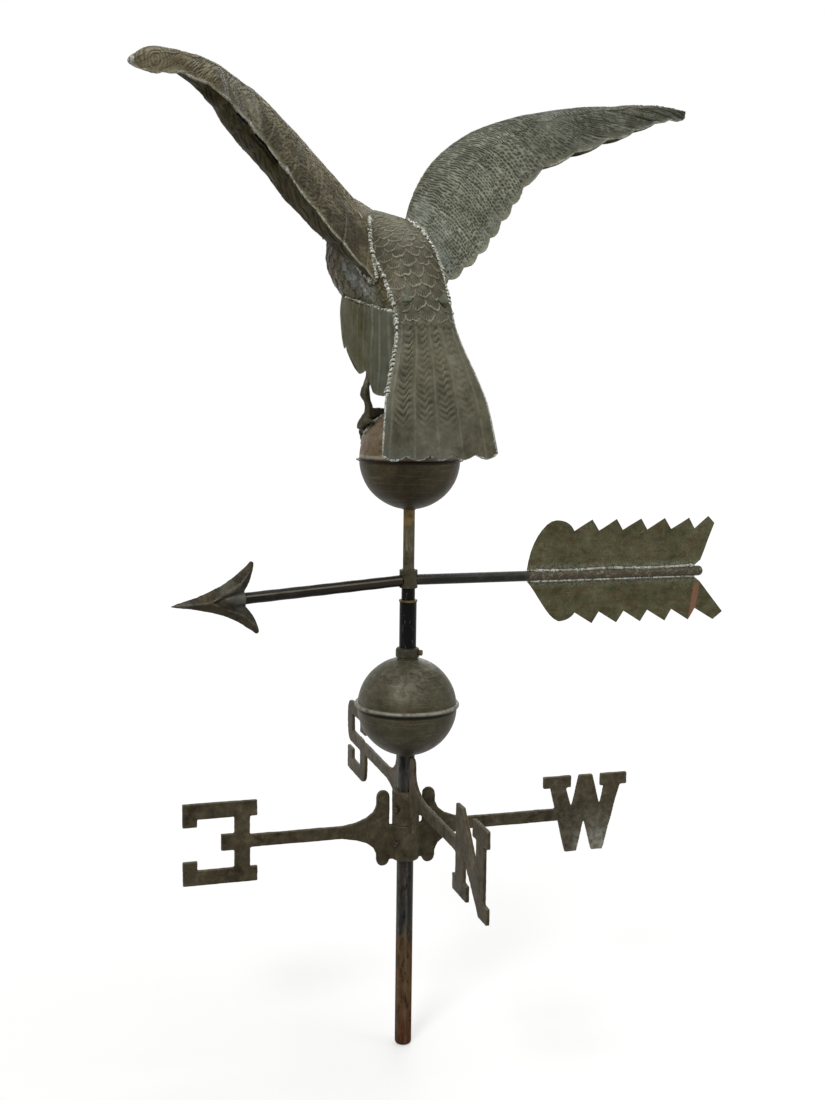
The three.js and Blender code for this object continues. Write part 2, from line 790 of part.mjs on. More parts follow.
function buildArrow() {
  const inner = stemDiameter / 2 + 2 * clearance;
  const notch = arrowTipReach - arrowHeadNotch;
  const rodEnd = notch + arrowSocketDepth;
  const frontRod = rod(frontRodDiameter, alongFront(inner), alongFront(rodEnd));
  addPiece(vane, "arrow_front_rod", "iron", frontRod);
  const neck = rod(
    2 * arrowHeadNeck,
    new THREE.Vector3(notch - arrowSocketDepth / 4, 0, 0),
    new THREE.Vector3(notch + arrowSocketDepth * 1.6, 0, 0),
  );
  const socket = rod(
    clearBore(frontRodDiameter),
    new THREE.Vector3(0, 0, 0),
    new THREE.Vector3(rodEnd + clearance, 0, 0),
  );
  const droop = THREE.MathUtils.radToDeg(arrowDroop);
  const head = arrowHeadSolid().add(neck).subtract(socket).rotate([0, droop, 0]).rotate([0, 0, 180]);
  addPiece(vane, "arrow_head", "arrow", head.translate([0, 0, arrowHeight]));
  const rearTube = rod(rearTubeDiameter, alongRear(inner), alongRear(rearTubeLength));
  const hollow = rod(
    rearTubeDiameter - 4 * copperWall,
    alongRear(fletchStart),
    alongRear(rearTubeLength + overrun),
  );
  addPiece(vane, "arrow_rear_tube", "arrow", rearTube.subtract(hollow));
  const plugStart = rearTubeLength + clearance;
  const capProfile = [
    [0, 0],
    [rearTubeDiameter / 2, 0],
    [rearTubeDiameter / 2, endPlugLength / 4],
    [rearTubeDiameter / 3, (endPlugLength * 3) / 4],
    [0, endPlugLength],
  ];
  const cap = revolve(capProfile, 16);
  const shank = rod(
    rearTubeDiameter - 4 * copperWall - 2 * clearance,
    axisPoint(-2 * endPlugLength),
    axisPoint(endPlugLength / 4),
    16,
  );
  const plug = cap.add(shank).rotate([0, 90, 0]).translate([plugStart, 0, arrowHeight]);
  addPiece(vane, "arrow_end_plug", "arrow", plug);
}

// One saw-toothed sheet with a rounded front lobe and a raked tail tab; side is 1 above the tube.
function fletchSheet({ side, height, valley, shift, tab, lobe }) {
  const foot = rearTubeDiameter / 2 + clearance;
  const lobeEnd = fletchStart + fletchLobeLength + shift;
  const tail = lobeEnd + fletchToothCount * fletchToothPitch;
  const bend = lobe.flatMap(([x, z]) => [
    fletchStart + x * fletchLobeLength,
    side * z * height,
  ]);
  const shape = new THREE.Shape();
  shape.moveTo(fletchStart, side * foot);
  shape.bezierCurveTo(...bend);
  shape.quadraticCurveTo(lobeEnd - fletchLobeLength / 10, bend[5], lobeEnd, side * valley);
  for (let k = 0; k < fletchToothCount; k++) {
    const start = lobeEnd + k * fletchToothPitch;
    shape.lineTo(start + fletchToothPitch * 0.72, side * height);
    shape.lineTo(start + fletchToothPitch, side * valley);
  }
  shape.lineTo(tail + tab * 0.68, side * height * 1.02);
  shape.lineTo(tail + tab, side * valley * 1.12);
  shape.lineTo(rearTubeLength + fletchEndRake, side * foot * 2);
  shape.lineTo(rearTubeLength - fletchEndRake, side * foot);
  return plate(shape, sheetThickness, 8).translate([0, 0, arrowHeight]);
}

function buildFletching() {
  const upper = fletchSheet({
    side: 1,
    height: upperFletchHeight,
    valley: upperFletchValley,
    shift: 0,
    tab: upperFletchTab,
    lobe: upperLobeShares,
  });
  const lower = fletchSheet({
    side: -1,
    height: lowerFletchHeight,
    valley: lowerFletchValley,
    shift: lowerFletchShift,
    tab: lowerFletchTab,
    lobe: lowerLobeShares,
  });
  addPiece(vane, "fletching_upper_sheet", "fletching", upper);
  addPiece(vane, "fletching_lower_sheet", "fletching", lower);
}

// Eagle, in its own frame: +X forward, +Y to its left, Z from the mast's foot

const eagle = new THREE.Group();
eagle.rotation.z = eagleHeading;
vane.add(eagle);

const perchTop = upperBallCentre + ballRadius;
const standTop = perchTop + standHeight;
const tailBase = bodyStationShares[0];

function stationsOf() {
  const belly = bodyStationShares.map(([bx, bz, vx, vz, w]) => ({
    back: new THREE.Vector3(bx * bodyLength, 0, standTop + bz * bodyLength),
    front: new THREE.Vector3(vx * bodyLength, 0, standTop + vz * bodyLength),
    width: (w * bodyWidth) / 2,
  }));
  const baseX = tailBase[0] * bodyLength;
  const baseZ = standTop + tailBase[1] * bodyLength;
  const tail = [tailEndShares, tailMiddleShares].map(([bx, bz, vx, vz, w]) => ({
    back: new THREE.Vector3(baseX + bx * tailLength, 0, baseZ + bz * tailLength),
    front: new THREE.Vector3(baseX + vx * tailLength, 0, baseZ + vz * tailLength),
    width: (w * tailWidth) / 2,
  }));
  return [...tail, ...belly];
}

const bodyRows = 16;
const tailRows = 3;
const stations = stationsOf();
const backLine = new THREE.CatmullRomCurve3(stations.map((s) => s.back));
const bellyLine = new THREE.CatmullRomCurve3(stations.map((s) => s.front));
const widthLine = new THREE.CatmullRomCurve3(stations.map((s) => new THREE.Vector3(s.width, 0, 0)));

const rounded = (value) => Math.sign(value) * Math.abs(value) ** (2 / bodyRoundness);

// A point of the body's skin: t runs from the tail's end to the neck, angle from the back to the left.
function bodyPoint(t, angle, grow = 0) {
  const back = backLine.getPoint(t);
  const belly = bellyLine.getPoint(t);
  const middle = back.clone().add(belly).divideScalar(2);
  const out = back.clone().sub(middle);
  const depth = out.length() + grow;
  out.normalize();
  const point = middle.addScaledVector(out, depth * rounded(Math.cos(angle)));
  point.y = (widthLine.getPoint(t).x + grow) * rounded(Math.sin(angle));
  return point;
}

const bodyMiddle = (t) => backLine.getPoint(t).add(bellyLine.getPoint(t)).divideScalar(2);

// Where the back meets the breast: at the tail's edge, then higher up the flank.
const seamAngle = (t) => {
  const blend = THREE.MathUtils.smoothstep(t, 0.18, 0.36);
  return THREE.MathUtils.degToRad(89 - 31 * blend);
};

// Rings of the body's skin from one of its rows to the neck.
function bodyRings(grow, first = 0, around = 16) {
  const rings = [];
  for (let i = first; i <= bodyRows; i++) {
    const t = i / bodyRows;
    const points = [];
    for (let j = 0; j < around; j++) points.push(bodyPoint(t, (2 * Math.PI * j) / around, grow));
    rings.push(points);
  }
  return rings;
}

// A copy of a ring of points pushed away from its neighbour, to carry a cut past an open end.
function pushedRing(ringPoints, neighbour) {
  const way = ringPoints[0].clone().sub(neighbour[0]).normalize();
  return ringPoints.map((p) => p.clone().addScaledVector(way, overrun));
}

// Cuts the tail's end into round feather tips.
function tailCutter() {
  const end = stations[0];
  const up = stations[1].back.clone().sub(end.back).normalize();
  const half = end.width;
  const step = (2 * half) / tailScallops;
  const shape = new THREE.Shape();
  shape.moveTo(-half - overrun, -overrun);
  shape.lineTo(-half - overrun, tailScallopDepth);
  shape.lineTo(-half, tailScallopDepth);
  for (let k = 0; k < tailScallops; k++) {
    const x = -half + k * step;
    shape.bezierCurveTo(x, 0, x + step, 0, x + step, tailScallopDepth);
  }
  shape.lineTo(half + overrun, tailScallopDepth);
  shape.lineTo(half + overrun, -overrun);
  const body = new THREE.ExtrudeGeometry(shape, {
    depth: 2 * overrun,
    bevelEnabled: false,
    curveSegments: 4,
  });
  body.translate(0, 0, -overrun);
  const across = new THREE.Vector3(0, 1, 0);
  const frame = new THREE.Matrix4().makeBasis(across, up, across.clone().cross(up));
  frame.setPosition(end.back.clone());
  body.applyMatrix4(frame);
  return solidOf(body);
}

// The narrow gap between back and breast, as a thin sheet across the body.
function seamGap() {
  const rows = bodyRows;
  const above = [];
  const below = [];
  for (let i = -1; i <= rows + 1; i++) {
    const t = THREE.MathUtils.clamp(i / rows, 0, 1);
    const place = bodyPoint(t, seamAngle(t));
    const out = backLine.getPoint(t).sub(bodyMiddle(t)).normalize();
    const next = bodyMiddle(Math.min(t + 1 / rows, 1)).sub(bodyMiddle(Math.max(t - 1 / rows, 0)));
    next.normalize();
    if (i < 0) place.addScaledVector(next, -overrun);
    if (i > rows) place.addScaledVector(next, overrun);
    const wide = place.y + overrun;
    const pair = (lift) =>
      [-wide, wide].map((y) => new THREE.Vector3(place.x, y, place.z).addScaledVector(out, lift));
    above.push(pair(clearance / 2));
    below.push(pair(-clearance / 2));
  }
  return sheet(above, below);
}

function buildBody() {
  const outer = loft(bodyRings(0));
  const hollowRings = bodyRings(-copperWall);
  const last = hollowRings.length - 1;
  hollowRings.push(pushedRing(hollowRings[last], hollowRings[last - 1]));
  const skin = outer.subtract(loft(hollowRings)).subtract(tailCutter());
  const parts = skin.subtract(seamGap()).decompose();
  parts.sort((a, b) => b.volume() - a.volume());
  const [first, second] = parts;
  const breastFirst = first.boundingBox().max[0] > second.boundingBox().max[0];
  addPiece(eagle, "eagle_back_shell", "feather", breastFirst ? second : first);
  addPiece(eagle, "eagle_breast_shell", "feather", breastFirst ? first : second);
}

// Wings

const curveOf = (rows) =>
  new THREE.CatmullRomCurve3(
    rows.map(([x, y, z = 0]) => new THREE.Vector3(x, y, z).multiplyScalar(wingReach)),
  );
const swellLine = curveOf(wingSwellShares);

function wingForm(tip, form) {
  return {
    trailing: curveOf([...trailingEdgeShares, ...tip.map((row) => row.slice(0, 3))]),
    leading: curveOf([...leadingEdgeShares, ...tip.map((row) => row.slice(3))]),
    form,
  };
}

// One skin of a wing: upper is 1 for the back and -1 for the underside; u runs from the trailing edge.
function wingSkin({ trailing, leading, form }, side, upper) {
  const spans = wingRibs * 3;
  const chords = upper > 0 ? 4 : 5;
  const outer = [];
  const middle = [];
  for (let i = 0; i <= spans; i++) {
    const t = i / spans;
    const lead = leading.getPoint(t);
    const trail = trailing.getPoint(t);
    const inward = lead.clone().sub(trail);
    const room = Math.min(scallopDepth, inward.length() / 8);
    const dip = 1 - Math.abs(Math.sin(Math.PI * wingRibs * t)) - scallopRootShare;
    trail.addScaledVector(inward.normalize(), dip * room);
    const chord = lead.sub(trail);
    const normal = new THREE.Vector3(-chord.z, 0, chord.x).normalize();
    const swell = swellLine.getPoint(t);
    const most = upper > 0 ? swell.x * form[0] : swell.y * form[1];
    const outerRow = [];
    const middleRow = [];
    for (let j = 0; j <= chords; j++) {
      const u = (j / chords + (1 - Math.cos((Math.PI * j) / chords)) / 2) / 2;
      const bow = Math.sin(Math.PI * (upper > 0 ? u ** 1.25 : u));
      const height = copperWall + clearance / 2 + most * Math.max(bow, 0) ** 0.8;
      const point = trail.clone().addScaledVector(chord, u);
      point.z += standTop;
      middleRow.push(point);
      outerRow.push(point.clone().addScaledVector(normal, upper * height));
    }
    outer.push(outerRow);
    middle.push(middleRow);
  }
  const inner = offsetGrid(outer, copperWall, (i, j) => middle[i][j]);
  const mirror = (grid) => grid.map((row) => row.map((p) => p.clone().setY(p.y * side)));
  return sheet(mirror(outer), mirror(inner));
}

function buildWings(trunk) {
  const left = wingForm(leftTipShares, leftFormShares);
  const right = wingForm(rightTipShares, rightFormShares);
  for (const [label, side, shape] of [["left", 1, left], ["right", -1, right]]) {
    const top = mainBody(wingSkin(shape, side, 1).subtract(trunk));
    const under = mainBody(wingSkin(shape, side, -1).subtract(trunk));
    addPiece(eagle, label + "_wing_top_shell", "wing", top);
    addPiece(eagle, label + "_wing_under_shell", "wing", under);
  }
}

// Head

function headRings(grow, list) {
  const neck = stations[stations.length - 1];
  const base = neck.back.clone().add(neck.front).divideScalar(2);
  return list.map(([cx, cz, tx, tz, w]) => {
    const crown = new THREE.Vector3(cx, 0, cz).multiplyScalar(headLength).add(base);
    const throat = new THREE.Vector3(tx, 0, tz).multiplyScalar(headLength).add(base);
    const middle = crown.clone().add(throat).divideScalar(2);
    const out = crown.clone().sub(middle);
    const depth = out.length() + grow;
    out.normalize();
    const points = [];
    for (let j = 0; j < 16; j++) {
      const angle = (2 * Math.PI * j) / 16;
      const point = middle.clone().addScaledVector(out, depth * Math.cos(angle));
      point.y = ((w * headWidth) / 2 + grow) * Math.sin(angle);
      points.push(point);
    }
    return points;
  });
}

function buildHead(trunk) {
  const outer = loft(headRings(0, headStationShares));
  const hollow = headRings(-copperWall, headStationShares.slice(0, hollowHeadStations));
  hollow.unshift(pushedRing(hollow[0], hollow[1]));
  const head = outer.subtract(loft(hollow)).subtract(trunk);
  addPiece(eagle, "eagle_head", "feather", mainBody(head));
}

// Thighs, legs and feet

function thighRings(side, shrink) {
  return thighRingShares.map(([front, back, height, width]) => {
    const middle = ((front + back) / 2) * thighReach + thighForward;
    const reach = ((front - back) / 2) * thighReach - shrink;
    const half = (width * thighWidth) / 2 - shrink;
    const points = [];
    for (let j = 0; j < 12; j++) {
      const angle = (2 * Math.PI * j) / 12;
      points.push(
        new THREE.Vector3(
          middle + reach * Math.cos(angle),
          (side * thighSpacing) / 2 + half * Math.sin(angle),
          standTop + thighRise + height * thighDrop,
        ),
      );
    }
    return points;
  });
}

// Everything below the thigh's stepped row of feather tips.
function thighCutter() {
  const floor = -thighDrop - 2 * overrun;
  const first = thighTipShares[0][0] * thighReach;
  const last = thighTipShares[thighTipShares.length - 1][1] * thighReach;
  const shape = new THREE.Shape();
  shape.moveTo(first + overrun, floor);
  shape.lineTo(first + overrun, thighTipShares[0][2] * thighDrop + thighNotch);
  for (const [front, back, low] of thighTipShares) {
    const [x0, x1] = [front * thighReach, back * thighReach];
    const z = low * thighDrop;
    shape.lineTo(x0, z + thighNotch);
    shape.bezierCurveTo(x0, z - thighNotch / 3, x1, z - thighNotch / 3, x1, z + thighNotch);
  }
  shape.lineTo(last - overrun, -thighDrop + 2 * thighNotch);
  shape.lineTo(last - overrun, floor);
  const cut = plate(shape, 2 * (thighSpacing + overrun), 2);
  return cut.translate([thighForward, 0, standTop + thighRise]);
}

// A tapering limb: round rings of given radius about a line of points.
function limb(points, radii, around = 5) {
  const rings = points.map((point, i) => {
    const before = points[Math.max(i - 1, 0)];
    const after = points[Math.min(i + 1, points.length - 1)];
    const along = after.clone().sub(before).normalize();
    const side = new THREE.Vector3(0, 0, 1).cross(along).normalize();
    const up = along.clone().cross(side);
    const ringPoints = [];
    for (let j = 0; j < around; j++) {
      const angle = (2 * Math.PI * j) / around;
      ringPoints.push(
        point
          .clone()
          .addScaledVector(side, radii[i] * Math.cos(angle))
          .addScaledVector(up, radii[i] * Math.sin(angle)),
      );
    }
    return ringPoints;
  });
  return loft(rings);
}

function buildLegs(trunk) {
  const ballCentre = axisPoint(upperBallCentre);
  const [roundSides, roundRings] = [24, 14];
  const facetShare = Math.cos(Math.PI / roundSides) * Math.cos(Math.PI / (2 * roundRings));
  const roundRadius = (ballRadius + clearance) / facetShare;
  const round = new THREE.SphereGeometry(roundRadius, roundSides, roundRings);
  round.translate(0, 0, upperBallCentre);
  const ballCut = solidOf(round);
  const cutter = thighCutter();
  for (const [label, side] of [["left", 1], ["right", -1]]) {
    const [ax, ay, az] = ankleShares;
    const ankleWay = new THREE.Vector3(ax, side * ay, az).normalize();
    const ankle = ballCentre.clone().addScaledVector(ankleWay, ballRadius + toeDiameter / 2);
    const knee = new THREE.Vector3(ankle.x + shankDiameter / 3, (side * kneeSpacing) / 2, standTop);
    knee.z += thighRise;
    const shank = rod(shankDiameter, ankle, knee, 8);
    const shankSleeve = rod(clearBore(shankDiameter), ankle, knee, 10);
    const knob = new THREE.SphereGeometry(ankleDiameter / 2, 8, 5);
    const knobPlace = ankle.clone().lerp(knee, 0.15);
    knob.translate(knobPlace.x, knobPlace.y, knobPlace.z);
    let foot = shank.add(solidOf(knob));
    const forward = new THREE.Vector3(1, 0, 0);
    forward.addScaledVector(ankleWay, -forward.dot(ankleWay)).normalize();
    const sideways = ankleWay.clone().cross(forward);
    toeAngles.forEach((turn) => {
      const length = turn === Math.PI ? hindToeLength : toeLength;
      const way = forward
        .clone()
        .multiplyScalar(Math.cos(turn))
        .addScaledVector(sideways, Math.sin(turn));
      const points = toeRingShares.map(([along, high]) => {
        const arc = (along * length) / ballRadius;
        const out = ankleWay.clone().multiplyScalar(Math.cos(arc)).addScaledVector(way, Math.sin(arc));
        return ballCentre.clone().addScaledVector(out, ballRadius + high * toeDiameter);
      });
      foot = foot.add(limb(points, toeRingShares.map(([, , thick]) => (thick * toeDiameter) / 2)));
    });
    addPiece(eagle, label + "_foot", "leg", mainBody(foot.subtract(ballCut).subtract(trunk)));
    const inner = thighRings(side, copperWall);
    const last = inner.length - 1;
    inner.push(pushedRing(inner[last], inner[last - 1]));
    const cone = loft(thighRings(side, 0)).subtract(loft(inner));
    const thigh = cone.subtract(cutter).subtract(trunk).subtract(shankSleeve);
    addPiece(eagle, label + "_thigh", "feather", mainBody(thigh));
  }
}

buildMast();
buildDirectionals();
buildBall(root, "lower_ball", lowerBallCentre, mastDiameter, { top: beadLip(), bottom: [] });
buildCollar();
buildStem();
buildArrow();
buildFletching();
buildBall(vane, "upper_ball", upperBallCentre, stemDiameter, { top: [], bottom: flangeLip() });
buildBody();
const trunk = loft(bodyRings(clearance, tailRows));
buildWings(trunk);
buildHead(trunk);
buildLegs(trunk);

export default root;
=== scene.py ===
# Looks of the eagle weathervane: dense copper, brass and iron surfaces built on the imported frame.
# Lengths here are in millimetres until a mesh is made; the eagle's own frame is +X forward, +Y left.
import math

import bmesh
import bpy
import numpy as np
from mathutils import Matrix, Vector
from mathutils.bvhtree import BVHTree


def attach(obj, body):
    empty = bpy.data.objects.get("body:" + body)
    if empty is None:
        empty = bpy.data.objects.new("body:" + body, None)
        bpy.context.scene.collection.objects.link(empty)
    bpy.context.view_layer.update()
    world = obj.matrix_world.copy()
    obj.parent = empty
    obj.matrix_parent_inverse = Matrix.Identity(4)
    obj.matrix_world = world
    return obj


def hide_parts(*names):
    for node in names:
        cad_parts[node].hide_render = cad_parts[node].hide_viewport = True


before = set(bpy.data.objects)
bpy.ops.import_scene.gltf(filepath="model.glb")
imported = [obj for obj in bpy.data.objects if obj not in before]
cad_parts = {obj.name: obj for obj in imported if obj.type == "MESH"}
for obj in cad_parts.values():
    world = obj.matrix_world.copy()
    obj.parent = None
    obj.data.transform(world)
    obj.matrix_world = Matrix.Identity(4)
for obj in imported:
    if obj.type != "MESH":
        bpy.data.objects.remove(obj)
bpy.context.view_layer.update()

HEADING = math.radians(101.6)  # from the shared frame's +X to the eagle's
STAND = 830.4  # height of the eagle's own zero
LOWER_BALL, UPPER_BALL, BALL_R = 398.4, 674.9, 55.5
ARROW_Z, MAST_TOP, MAST_R, STEM_R = 540.9, 516.3, 9.525, 6.35


# Numbers and curves

def smooth(x, low, high):
    """0 where x is at or past low, 1 at or past high, and smooth between."""
    x = np.clip((np.asarray(x, float) - low) / (high - low), 0, 1)
    return x * x * (3 - 2 * x)


def bell(x, width):
    """1 at x = 0, falling off on both sides over about the width."""
    return np.exp(-(x / width) ** 2)


def lumps(points, size, seed, waves=7):
    """Smooth unevenness from about -1 to 1, with humps about size mm across."""
    rng = np.random.default_rng(seed)
    total = 0
    for _ in range(waves):
        way = rng.normal(size=3)
        way *= rng.uniform(0.6, 1.6) * 2 * math.pi / (2.2 * size) / np.linalg.norm(way)
        total = total + np.sin(points @ way + rng.uniform(0, 2 * math.pi))
    return total / math.sqrt(waves)


def curve(rows):
    """A centripetal Catmull-Rom curve through the rows, from t = 0 to 1."""
    pts = np.asarray(rows, float)
    ext = np.vstack([2 * pts[0] - pts[1], pts, 2 * pts[-1] - pts[-2]])

    def at(t):
        t = np.clip(np.asarray(t, float), 0, 1)
        n = len(pts) - 1
        k = np.minimum((t * n).astype(int), n - 1)
        w = (t * n - k)[..., None]
        p = [ext[k + i] for i in range(4)]
        d = [(((p[i + 1] - p[i]) ** 2).sum(-1) ** 0.25)[..., None] for i in range(3)]
        d1 = np.where(d[1] < 1e-4, 1.0, d[1])
        d0 = np.where(d[0] < 1e-4, d1, d[0])
        d2 = np.where(d[2] < 1e-4, d1, d[2])
        a = ((p[1] - p[0]) / d0 - (p[2] - p[0]) / (d0 + d1) + (p[2] - p[1]) / d1) * d1
        b = ((p[2] - p[1]) / d1 - (p[3] - p[1]) / (d1 + d2) + (p[3] - p[2]) / d2) * d1
        c2 = -3 * p[1] + 3 * p[2] - 2 * a - b
        c3 = 2 * p[1] - 2 * p[2] + a + b
        return p[1] + a * w + c2 * w ** 2 + c3 * w ** 3

    return at


def to_row(points):
    """From the eagle's own frame to the shared frame, both in mm."""
    c, s = math.cos(HEADING), math.sin(HEADING)
    p = np.asarray(points, float)
    return np.stack([p[..., 0] * c - p[..., 1] * s, p[..., 0] * s + p[..., 1] * c, p[..., 2]], -1)


def grid_normals(grid, wrap=False):
    """Unit normals of a grid of points; wrap closes it round its second axis."""
    along = np.gradient(grid, axis=0)
    if wrap:
        across = np.roll(grid, -1, 1) - np.roll(grid, 1, 1)
    else:
        across = np.gradient(grid, axis=1)
    n = np.cross(along, across)
    return n / np.maximum(np.linalg.norm(n, axis=-1, keepdims=True), 1e-9)


def pits(a, b, wide, tall, seed, jitter=0.35, half=0.34, sparse=0.08, long=1.0):
    """Soft pits laid like uneven bricks, wide mm along a and tall mm along b; 1 in a pit and 0 between."""
    table = np.random.default_rng(seed).random((64, 64, 3))
    row = np.floor(b / tall)
    slip = (row % 2) * 0.5 + table[row.astype(int) % 64, 7, 0] * 0.4
    col = np.floor(a / wide + slip)
    r = table[row.astype(int) % 64, col.astype(int) % 64]
    x = a / wide + slip - col - 0.5 - (r[..., 0] - 0.5) * jitter
    y = b / tall - row - 0.5 - (r[..., 1] - 0.5) * jitter
    size = half * (0.8 + 0.45 * r[..., 2])
    return smooth((np.abs(x) / size / long) ** 2.6 + (np.abs(y) / size) ** 2.6, 1.6, 0.3) * (r[..., 2] > sparse)


def outward(grid, middle, wrap=False):
    """Normals of a grid, turned away from its middle."""
    normal = grid_normals(grid, wrap)
    return -normal if (normal * (grid - middle)).sum() < 0 else normal


def unit(vectors):
    return vectors / np.linalg.norm(vectors, axis=-1, keepdims=True)


def run_length(line):
    return np.concatenate([[0], np.cumsum(np.linalg.norm(np.diff(line, axis=0), axis=1))])


def tube_around(line, size, around, hint):
    """Rings about a line of points, and the angles of their points; hint is any way off the line."""
    along = unit(np.gradient(line, axis=0))
    side = unit(np.cross(along, hint))
    up = np.cross(along, side)
    angle = np.linspace(0, 2 * math.pi, around, endpoint=False)
    ring = side[:, None] * np.cos(angle)[None, :, None] + up[:, None] * np.sin(angle)[None, :, None]
    return line[:, None] + size[:, None, None] * ring, angle


def arc(grid, axis):
    """Length run along one axis of a grid."""
    step = np.linalg.norm(np.diff(grid, axis=axis), axis=-1)
    pad = [(0, 0), (0, 0)]
    pad[axis] = (1, 0)
    return np.pad(np.cumsum(step, axis=axis), pad)


# Meshes

def set_fields(mesh, fields):
    """Keeps numbers at the points, which the piece's look reads by name."""
    for key, values in fields.items():
        attribute = mesh.attributes.new(key, "FLOAT", "POINT")
        attribute.data.foreach_set("value", np.asarray(values, np.float32).ravel())


def set_points(mesh, points):
    """Moves the points to places given in mm."""
    mesh.vertices.foreach_set("co", (np.asarray(points) / 1000).astype(np.float32).ravel())
    mesh.update()


def read_points(mesh, key):
    flat = np.zeros(len(mesh.vertices) * 3, np.float32)
    mesh.vertices.foreach_get(key, flat)
    return flat.reshape(-1, 3).astype(float)


def add_mesh(name, points, faces, body, key, replaces=(), fields=None, sharp=50):
    """One piece from points in mm and rows of face corners."""
    mesh = bpy.data.meshes.new(name)
    points = np.asarray(points, float).reshape(-1, 3)
    faces = [np.asarray(f) for f in (faces if isinstance(faces, list) else [faces]) if len(f)]
    sizes = np.concatenate([np.full(len(f), f.shape[1]) for f in faces])
    corners = np.concatenate([f.ravel() for f in faces])
    mesh.vertices.add(len(points))
    mesh.vertices.foreach_set("co", (points / 1000).astype(np.float32).ravel())
    mesh.loops.add(len(corners))
    mesh.loops.foreach_set("vertex_index", corners.astype(np.int32))
    mesh.polygons.add(len(sizes))
    mesh.polygons.foreach_set("loop_start", np.concatenate([[0], np.cumsum(sizes)[:-1]]).astype(np.int32))
    mesh.polygons.foreach_set("loop_total", sizes.astype(np.int32))
    mesh.update(calc_edges=True)
    set_fields(mesh, fields or {})
    mesh.validate()
    finish_piece(name, mesh, body, key, replaces, sharp)


def finish_piece(name, mesh, body, key, replaces=(), sharp=50):
    """Gives a mesh its look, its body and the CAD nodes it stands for."""
    mesh.polygons.foreach_set("use_smooth", np.ones(len(mesh.polygons), bool))
    mesh.set_sharp_from_angle(angle=math.radians(sharp))
    piece = bpy.data.objects.new(name, mesh)
    bpy.context.scene.collection.objects.link(piece)
    mesh.materials.clear()
    mesh.materials.append(look[key])
    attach(piece, body)
    if replaces:
        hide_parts(*replaces)


def quads(n, m, wrap=False, start=0):
    """Faces of a grid of n rows and m columns."""
    index = np.arange(n * m).reshape(n, m) + start
    if wrap:
        index = np.concatenate([index, index[:, :1]], 1)
    return np.stack([index[:-1, :-1], index[:-1, 1:], index[1:, 1:], index[1:, :-1]], -1).reshape(-1, 4)


def turned_out(points, faces):
    """The faces of a closed form, reversed where they would face inward."""
    p = np.asarray(points, float).reshape(-1, 3)
    volume = 0.0
    for f in faces:
        for k in range(1, f.shape[1] - 1):
            volume += (p[f[:, 0]] * np.cross(p[f[:, k]], p[f[:, k + 1]])).sum()
    return faces if volume > 0 else [f[:, ::-1] for f in faces]


def shell(outer, inner, wrap=False):
    """A closed sheet between two grids that face each other."""
    n, m = outer.shape[:2]
    count = n * m
    parts = [quads(n, m, wrap), quads(n, m, wrap, count)[:, ::-1]]
    index = np.arange(count).reshape(n, m)
    rims = [index[0], index[-1][::-1]] if wrap else [
        np.concatenate([index[0, :], index[1:, -1], index[-1, -2::-1], index[-2:0:-1, 0]])]
    for rim in rims:
        after = np.roll(rim, -1)
        parts.append(np.stack([after, rim, rim + count, after + count], -1))
    points = np.concatenate([outer.reshape(-1, 3), inner.reshape(-1, 3)])
    return points, turned_out(points, parts)


def relief_sheet(name, outer, inner, key, node, slot, mark, tone, rel, solder, wrap=False):
    """A formed sheet between two grids, with the numbers that its look reads, the same on both faces."""
    fields = {"mark": mark, "tone": np.clip(tone, -1, 1), "rel": np.clip(rel, -1, 1), "solder": solder}
    fields = {field: np.tile(np.broadcast_to(values, outer.shape[:2]).ravel(), 2) for field, values in fields.items()}
    points, faces = shell(to_row(outer), to_row(inner), wrap)
    add_mesh(name, points, faces, "vane", key, (node,), fields)


def turned(name, profile, body, key, replaces, segments=96, place=None, wobble=0.0, seed=1, sharp=35):
    """A revolved piece from [radius, height] points; a profile off the axis is closed on itself."""
    profile = np.asarray(profile, float)
    angle = np.linspace(0, 2 * math.pi, segments, endpoint=False)
    ring = profile[:, None, 0] * np.stack([np.cos(angle), np.sin(angle), np.zeros(segments)], 0)[:, None, :]
    grid = np.moveaxis(ring, 0, -1)
    grid[..., 2] += profile[:, 1][:, None]
    if wobble:
        out = grid.copy()
        out[..., 2] = 0
        length = np.maximum(np.linalg.norm(out, axis=-1, keepdims=True), 1e-6)
        grid = grid + out / length * (lumps(grid, 24, seed) * wobble)[..., None] * (length > 1)
    n, m = grid.shape[:2]
    faces = [quads(n, m, True)]
    if profile[0][0] > 1e-6 or profile[-1][0] > 1e-6:
        last, first = (n - 1) * m + np.arange(m), np.arange(m)
        faces.append(np.stack([last, np.roll(last, -1), np.roll(first, -1), first], -1))
    points = grid.reshape(-1, 3)
    if place is not None:
        points = np.array([place @ Vector(p) for p in points])
    add_mesh(name, points, turned_out(points, faces), body, key, replaces, sharp=sharp)


def rounded_profile(points, radius, steps=4):
    """Rounds the corners of a [radius, height] profile that does not close on itself."""
    pts = [np.array(p, float) for p in points]
    out = [pts[0]]
    for a, b, c in zip(pts, pts[1:], pts[2:]):
        r = min(radius, np.linalg.norm(b - a) / 2.2, np.linalg.norm(c - b) / 2.2)
        p = b + (a - b) / max(np.linalg.norm(a - b), 1e-9) * r
        q = b + (c - b) / max(np.linalg.norm(c - b), 1e-9) * r
        for k in range(steps + 1):
            w = k / steps
            out.append((1 - w) ** 2 * p + 2 * w * (1 - w) * b + w * w * q)
    out.append(pts[-1])
    return out


